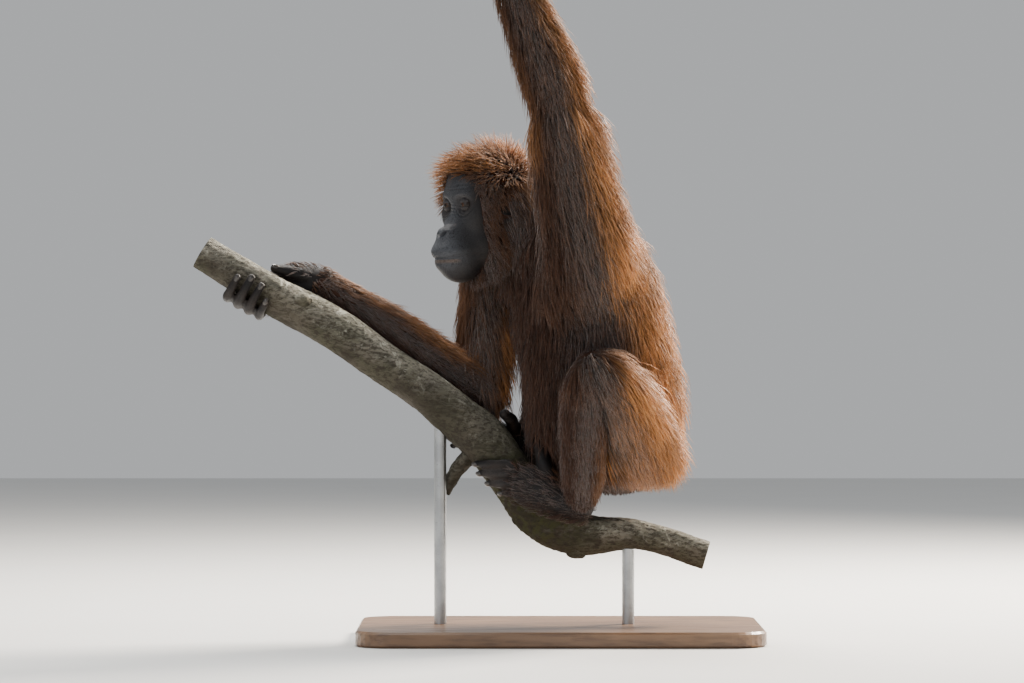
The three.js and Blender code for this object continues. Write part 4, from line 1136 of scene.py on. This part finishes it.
def lid_grid(side, lid, around=40, rings=30):
    """An upper (1) or lower (-1) lid: a lens-shaped piece of shell over the eyeball.

    Across the eye the lid runs from corner to corner; up the eye it goes from its edge, an arc that
    droops to the corners, to well inside the socket, 2.25 mm off the eye at most and 0.25 at least.
    """
    share = np.linspace(0, 1, rings + 1)[:, None]
    turn = turns(around)
    level = np.radians(-74 + 148 * share)
    edge = np.radians(LID_OPEN[lid]) * np.cos(level * 1.2)
    back = np.radians(LID_BACK * lid)
    middle, half = (edge + back) / 2, (back - edge) / 2 * np.sqrt(np.maximum(np.sin(math.pi * share), 0))
    rise = middle + half * np.cos(turn)
    radius = EYE_RADIUS + 1.25 + np.sin(turn)
    ahead, left, up = eye_middle(side)
    local = [ahead + radius * np.cos(rise) * np.cos(level), left + radius * np.cos(rise) * np.sin(level),
             up + radius * np.sin(rise) * np.ones_like(level)]
    return from_head(np.stack(local, -1))


class BuildEyes(bpy.types.Operator):
    """Builds the two eyeballs, each with a slightly raised cornea."""

    bl_idname = "orangutan.eyes"
    bl_label = "Eyes"

    def execute(self, context):
        material = eye_material()
        for name, side in (("left", 1), ("right", -1)):
            tilt, turn = angles(56, 40)
            radius = EYE_RADIUS + CORNEA_RISE * np.exp(-((tilt / CORNEA_WIDTH) ** 2))
            local = eye_middle(side) + ball(tilt, turn) * radius[..., None]
            eye = solid("eyeball_" + name, [from_head(local)])
            eye.data.materials.append(material)
            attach(eye, "root")
            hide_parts("eye_" + name)
        return {"FINISHED"}


class BuildNails(bpy.types.Operator):
    """Builds the nails: a curved flat shield on the back of each digit's end."""

    bl_idname = "orangutan.nails"
    bl_label = "Nails"

    def execute(self, context):
        grids = []
        for hand in HANDS.values():
            _, digits, thumb = hand_parts(hand)
            grids += [self.nail_grid(digit, hand) for digit in digits + [thumb]]
        nails = solid("nails", grids)
        nails.data.materials.append(nail_material())
        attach(nails, "root")
        return {"FINISHED"}

    @staticmethod
    def nail_grid(digit, hand, around=24, rings=14):
        """A nail: a flattened drop, bent round the digit's back. Its middle lies on the surface."""
        centre, along, across, _, a, b = (v[0] for v in digit.section(np.array([0.985])))
        away = centre - hand["grip"][0]
        away = unit(away - along * away.dot(along) - across * away.dot(across))
        tilt, turn = angles(around, rings)
        wide = 0.66 * a * np.sin(tilt) * np.cos(turn)
        long = 0.82 * a * np.sin(tilt) * np.sin(turn) + 0.15 * a
        thick = 0.9 * np.cos(tilt) * np.ones_like(turn)
        bend = b + 0.3 - wide**2 / (1.5 * a) - np.maximum(long, 0) ** 2 / (3.2 * a)
        return centre + across * wide[..., None] + along * long[..., None] + away * (bend + thick)[..., None]


class BuildCoat(bpy.types.Operator):
    """Builds the long coat as solid tufts over the skin, in pieces of under 200,000 triangles."""

    bl_idname = "orangutan.coat"
    bl_label = "Coat"

    def execute(self, context):
        settings = look("coat")
        material = hair_material(settings)
        skin = bpy.data.objects["skin"]
        verts, tris = points_of(skin.data), triangles_of(skin.data)
        middle = verts[tris].mean(1)
        trunk = (tris < skin["trunk_points"]).all(1)
        which, _, _ = nearest_form(middle, BODY.values())
        palms = [hand_parts(hand)[0] for hand in HANDS.values()]
        palm, _, reach = nearest_form(middle, palms)
        away = np.array([unit(p.path[1] - hand["grip"][0]) for p, hand in zip(palms, HANDS.values())])
        first, second, third = (verts[tris[:, n]] for n in range(3))
        facing = np.sum(away[palm] * unit(np.cross(second - first, third - first)), axis=1)
        local = to_head(middle)
        outside_head = head_distance(local) > -3
        near_head = np.linalg.norm(local, axis=1)
        number = {name: n for n, name in enumerate(BODY)}
        for name, (count, length, width, lift, lie, base, rim) in COAT.items():
            rng = np.random.default_rng(settings.seed + len(name) * 31 + ord(name[0]))
            if name == "head":
                allowed = ~trunk & outside_head & (near_head < HEAD_HAIR_REACH) & ~bare_face(middle)
                allowed &= local[:, 2] > THROAT_HAIR_UP
            elif name == "hands":
                allowed = ~trunk & (near_head > HANDS_FROM_HEAD) & (reach < HAND_HAIR_REACH)
                allowed &= facing > HAND_HAIR_FACING
            else:
                allowed = trunk & (which == number[name]) & outside_head
                allowed &= ~((name in ("neck", "torso")) & bare_face(middle) & (near_head < FACE_HAIR_CLEAR))
            count = int(count * settings.density)
            more = 1.0 + (1.6 * whorl(middle) if name == "head" else 0.0)
            roots, normals = scatter(verts, tris, count, allowed * more, rng)
            if name == "head":
                lies = head_lie(roots)
            elif name == "hands":
                lies = unit(np.array([p.path[-1] - p.path[0] for p in palms]))[nearest_form(roots, palms)[0]]
            else:
                lies = np.tile(unit(np.array(lie, float)), (count, 1))
            stray = 0.28 + 0.7 * whorl(roots)[:, None] if name == "head" else 0.12
            lies = unit(lies + stray * rng.normal(size=lies.shape))
            long = length * rng.uniform(0.55, 1.15, count) * self.fit(name, roots)
            rise = lift * rng.uniform(0.5, 1.25, count) * (1 + 0.6 * smooth(0.0, 0.9, normals @ BACKWARD))
            path = strands(roots, normals, lies, long, rise, skin, rng)
            orange_and_painted_light = self.brightness(name, roots, normals, base, rim)
            _, along, _ = nearest_form(roots, BODY.values())
            angle = np.arctan2(normals[:, 1], normals[:, 0])
            tile = number.get(name, len(BODY))
            if name == "head":
                along = (to_head(roots)[:, 2] + 120) / 260
            corner = bake_corner(np.full(count, tile), along, angle)
            tone = rng.beta(2.2, 2.2, count)
            wide = width * rng.uniform(0.7, 1.25, count)
            parts = math.ceil(count / TUFTS_IN_PIECE)
            for part in range(parts):
                pick = np.arange(part, count, parts)
                values = (v[pick] for v in (path, normals, wide, tone, orange_and_painted_light, corner))
                tuft_mesh(f"coat_{name}_{part + 1}", *values, material)
        return {"FINISHED"}

    @staticmethod
    def fit(name, roots):
        """Share of the full length: shorter at wrists, ankles, the rump's underside and the face's edge.

        It is also down to half on the far side, to stay near the CAD's box.
        """
        if name == "head":
            ahead, left, up = to_head(roots).T
            return 0.5 + 0.4 * smooth(40, 0, ahead) + 0.5 * smooth(45, 90, up) + 0.3 * temple(roots) * (left < 0)
        if name == "hands":
            return np.ones(len(roots))
        _, share, _ = nearest_form(roots, BODY.values())
        far = 1.0 - 0.5 * smooth(*FAR_SIDE, roots[:, 1])
        if name.startswith(("forearm", "shin")):
            return far * (1.0 - 0.55 * smooth(0.62, 1.0, share))
        if name in ("torso", "thigh_left", "thigh_right"):
            return far * np.clip((roots[:, 2] - RUMP_UNDERSIDE) / COAT[name][1], 0.16, 1.0)
        return far

    @staticmethod
    def brightness(name, roots, normals, base, rim):
        """How orange a tuft is: its base, the coat's own orange for the part it is on, plus painted rim light where
        it faces back towards the back light, or up while seen side-on from the camera.
        The crown, the arms' upper edges and the outer thigh get this painted light too, the cheeks and shins get
        little of it.
        """
        # Painted light: back is where the tuft faces the back light, edge where it faces up while seen side-on from
        # the camera.
        back = smooth(0.0, 0.75, normals @ BACKWARD)
        level = 1 - smooth(0.35, 0.9, np.abs(normals[:, 1]))
        edge = level * smooth(-0.2, 0.6, normals[:, 2] - 0.4 * normals[:, 0])
        if name == "head":
            crown = np.maximum(smooth(40, 78, to_head(roots)[:, 2]), temple(roots) * (to_head(roots)[:, 1] < 0))
            return np.clip((base + rim * np.maximum(back, 0.8 * edge)) * (0.15 + 0.85 * crown), 0, 1)
        if name == "upper_arm_left":
            edge *= 0.75 * smooth(850, 950, roots[:, 2])
            back = smooth(-0.1, 0.5, normals @ BACKWARD)
        elif name.startswith("thigh"):
            # Painted rim light on the thigh, growing towards its back.
            edge = 0.55 * smooth(55, 125, roots[:, 0])
        else:
            edge *= {"forearm_left": 0.7, "forearm_right": 0.45, "upper_arm_right": 0.25}.get(name, 0.0)
        return np.clip(base + rim * np.maximum(back, edge), 0, 1)


BURL_AT = np.array([-40.0, 0.0, 250.0])
BURL_REACH = 75  # mm
CUT_END_REACH = 60  # mm from the end of the path


def branch_grid(branch, around, rings):
    """A branch: a round section along its path, with the CAD's two slow waves and bark ridges.

    Radius = spline of the radii + rough * (sin(2 angle + 21 t) + 0.8 sin(3 angle - 34 t)), plus
    lengthwise ridges and flowing noise of about a millimetre, and lumps at the burl. The seed shifts
    the waves, and the ends are flat.
    """
    path = np.array(branch["path"], float)
    t = np.concatenate([[0, 0, 0], np.linspace(0, 1, rings), [1, 1, 1]])
    shrink = np.concatenate([[0, 0.5, 0.9], np.ones(rings), [0.9, 0.5, 0]])
    centre = spline(path, t)
    along = heading(path, t)
    across = unit(np.array([0, 1.0, 0]) - along * along[:, 1:2])
    high = np.cross(along, across)
    turn = turns(around)

    def placed(radius):
        wide, deep = (np.cos(turn) * radius)[..., None], (np.sin(turn) * radius)[..., None]
        return centre[:, None] + across[:, None] * wide + high[:, None] * deep

    row, seed = t[:, None], branch["seed"]
    bumps = np.sin(turn * 2 + row * 21 + seed) + 0.8 * np.sin(turn * 3 - row * 34 + seed * 2)
    radius = spline([(r, 0, 0) for r in branch["radii"]], t)[:, :1] + branch["rough"] * bumps
    flat = placed(radius).reshape(-1, 3)
    rough = 0.9 * flowing_noise(flat, 60, 3) + 0.54 * flowing_noise(flat, 14, 5)
    ridges = 0.5 * np.abs(np.sin(turn * 9 + 2 * np.sin(row * 30)))
    burl = np.exp(-((np.linalg.norm(flat - BURL_AT, axis=1) / BURL_REACH) ** 2))
    rough += burl * (5.0 * np.maximum(flowing_noise(flat, 34, 8), 0) + 2.2 * flowing_noise(flat, 11, 6))
    return placed((radius + rough.reshape(radius.shape) + ridges - 0.5) * shrink[:, None])


def knot_grid(at, half, seed, around=60, rings=44):
    """A knot or burl: an ellipsoid with coarse, lumpy noise on its radius."""
    out = ball(*angles(around, rings))[..., [0, 2, 1]] * np.array(half)
    lumps = flowing_noise((np.array(at) + out).reshape(-1, 3), 26, seed).reshape(out.shape[:2])
    lumps[0], lumps[-1] = lumps[0, 0], lumps[-1, 0]
    return np.array(at) + out * (1 + 0.1 * lumps[..., None])


class BuildBranches(bpy.types.Operator):
    """Builds the two cut branches with their bark, burl and knots."""

    bl_idname = "orangutan.branches"
    bl_label = "Branches"

    def execute(self, context):
        material = bark_material(look("branch"))
        cut = wood_material()
        knots = [knot_grid(at, half, n) for n, (at, half) in enumerate(KNOTS)]
        stub = branch_grid(STUB, 40, 60)
        for name, node, branch, grids in (
            ("bark_main", "perch_branch", MAIN_BRANCH, [branch_grid(MAIN_BRANCH, 110, 520), stub] + knots),
            ("bark_upper", "perch_upper", UPPER_BRANCH, [branch_grid(UPPER_BRANCH, 90, 200)]),
        ):
            thing = solid(name, grids)
            thing.data.materials.append(material)
            thing.data.materials.append(cut)
            self.mark_ends(thing.data, branch)
            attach(thing, "root")
            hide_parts(node)
        return {"FINISHED"}

    @staticmethod
    def mark_ends(mesh, branch):
        """Gives the faces of the flat ends the cut-wood material."""
        path = np.array(branch["path"], float)
        centres = fetched(mesh.polygons, "center", 3, np.float32) / MM
        normals = fetched(mesh.polygons, "normal", 3, np.float32)
        ends = np.zeros(len(centres), bool)
        for at, inner in ((path[0], path[1]), (path[-1], path[-2])):
            out = unit(at - inner)
            ends |= (np.linalg.norm(centres - at, axis=1) < CUT_END_REACH) & (normals @ out > 0.8)
        mesh.polygons.foreach_set("material_index", ends.astype(np.int32))


class FinishStand(bpy.types.Operator):
    """Gives the board and the rods of the stand their wood and steel."""

    bl_idname = "orangutan.stand"
    bl_label = "Stand"

    def execute(self, context):
        wood, steel = board_material(), steel_material()
        for name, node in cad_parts.items():
            if name.startswith("stand_"):
                node.data.materials.clear()
                node.data.materials.append(steel if "rod" in name else wood)
        return {"FINISHED"}


FLOOR_REACH = 9000  # mm
CAMERA_ACROSS, CAMERA_UP = -0.0857, 0.533  # metres, the middle of the photograph


class BuildStudio(bpy.types.Operator):
    """Builds the pale floor, the soft lights and the camera."""

    bl_idname = "orangutan.studio"
    bl_label = "Studio"

    def execute(self, context):
        settings = look("studio")
        scene = bpy.context.scene
        corners = FLOOR_REACH * np.array([(-1, -1, 0), (1, -1, 0), (1, 1, 0), (-1, 1, 0)])
        floor = make_object("floor", corners, [np.array([[0, 1, 2, 3]])], False)
        material, nodes, shader = new_material("studio floor", 0.8)
        dressed(nodes, shader, nodes.mix(nodes.noise(3.0), (0.66, 0.66, 0.65), (0.7, 0.7, 0.69)))
        floor.data.materials.append(material)
        world = bpy.data.worlds.new("studio")
        world.use_nodes = True
        sky = world.node_tree.nodes["Background"].inputs
        sky["Color"].default_value = (0.86, 0.88, 0.9, 1.0)
        sky["Strength"].default_value = 0.55
        scene.world = world
        self.area("back light", (2.3, 1.9, 2.6), (0.05, 0, 0.7), 1.4, settings.back_light, (1.0, 0.9, 0.78))
        self.area("top light", (-0.6, 1.2, 3.4), (0, 0, 0.7), 1.6, settings.back_light * 0.35, (1.0, 0.97, 0.92))
        self.area("fill light", (-2.6, -3.6, 1.9), (0, 0, 0.65), 2.4, settings.fill_light, (0.93, 0.96, 1.0))
        camera = bpy.data.cameras.new("camera")
        camera.lens = settings.lens
        camera.sensor_width = 36.0
        camera.clip_end = 60.0
        thing = bpy.data.objects.new("camera", camera)
        thing.location = (CAMERA_ACROSS, -settings.distance, CAMERA_UP)
        thing.rotation_euler = (math.radians(90), 0, 0)
        scene.collection.objects.link(thing)
        scene.camera = thing
        return {"FINISHED"}

    @staticmethod
    def area(name, place, aim, size, power, colour):
        """A square area light aimed at a point."""
        light = bpy.data.lights.new(name, "AREA")
        light.size = size
        light.energy = power
        light.color = colour
        thing = bpy.data.objects.new(name, light)
        thing.location = place
        away = np.array(place) - np.array(aim)
        thing.rotation_euler = (math.atan2(math.hypot(away[0], away[1]), away[2]), 0, math.atan2(away[0], -away[1]))
        bpy.context.scene.collection.objects.link(thing)


class OrangutanPanel(bpy.types.Panel):
    """Lists the pieces of the model in the sidebar."""

    bl_idname = "VIEW3D_PT_orangutan"
    bl_label = "Orangutan"
    bl_space_type = "VIEW_3D"
    bl_region_type = "UI"
    bl_category = "Orangutan"

    def draw(self, context):
        for operator in STEPS:
            self.layout.operator(operator.bl_idname)
        for name in SETTINGS:
            group = look(name)
            for key in group.__annotations__:
                self.layout.prop(group, key)


SETTINGS = {"skin": SkinSettings, "coat": CoatSettings, "branch": BranchSettings, "studio": StudioSettings}
STEPS = (BuildStudio, BuildSkin, BuildEyes, BuildNails, BuildCoat, BuildBranches, FinishStand)
CLASSES = (*SETTINGS.values(), *STEPS, OrangutanPanel)


def register():
    """Registers the classes and puts the settings on the scene."""
    for kind in CLASSES:
        bpy.utils.register_class(kind)
    for name, kind in SETTINGS.items():
        setattr(bpy.types.Scene, "orangutan_" + name, PointerProperty(type=kind))


def unregister():
    """Takes the settings and the classes away again."""
    for name in SETTINGS:
        delattr(bpy.types.Scene, "orangutan_" + name)
    for kind in reversed(CLASSES):
        bpy.utils.unregister_class(kind)


def main():
    """Builds every piece in order."""
    register()
    for operator in STEPS:
        group, name = operator.bl_idname.split(".")
        getattr(getattr(bpy.ops, group), name)()


if __name__ == "__main__":
    main()
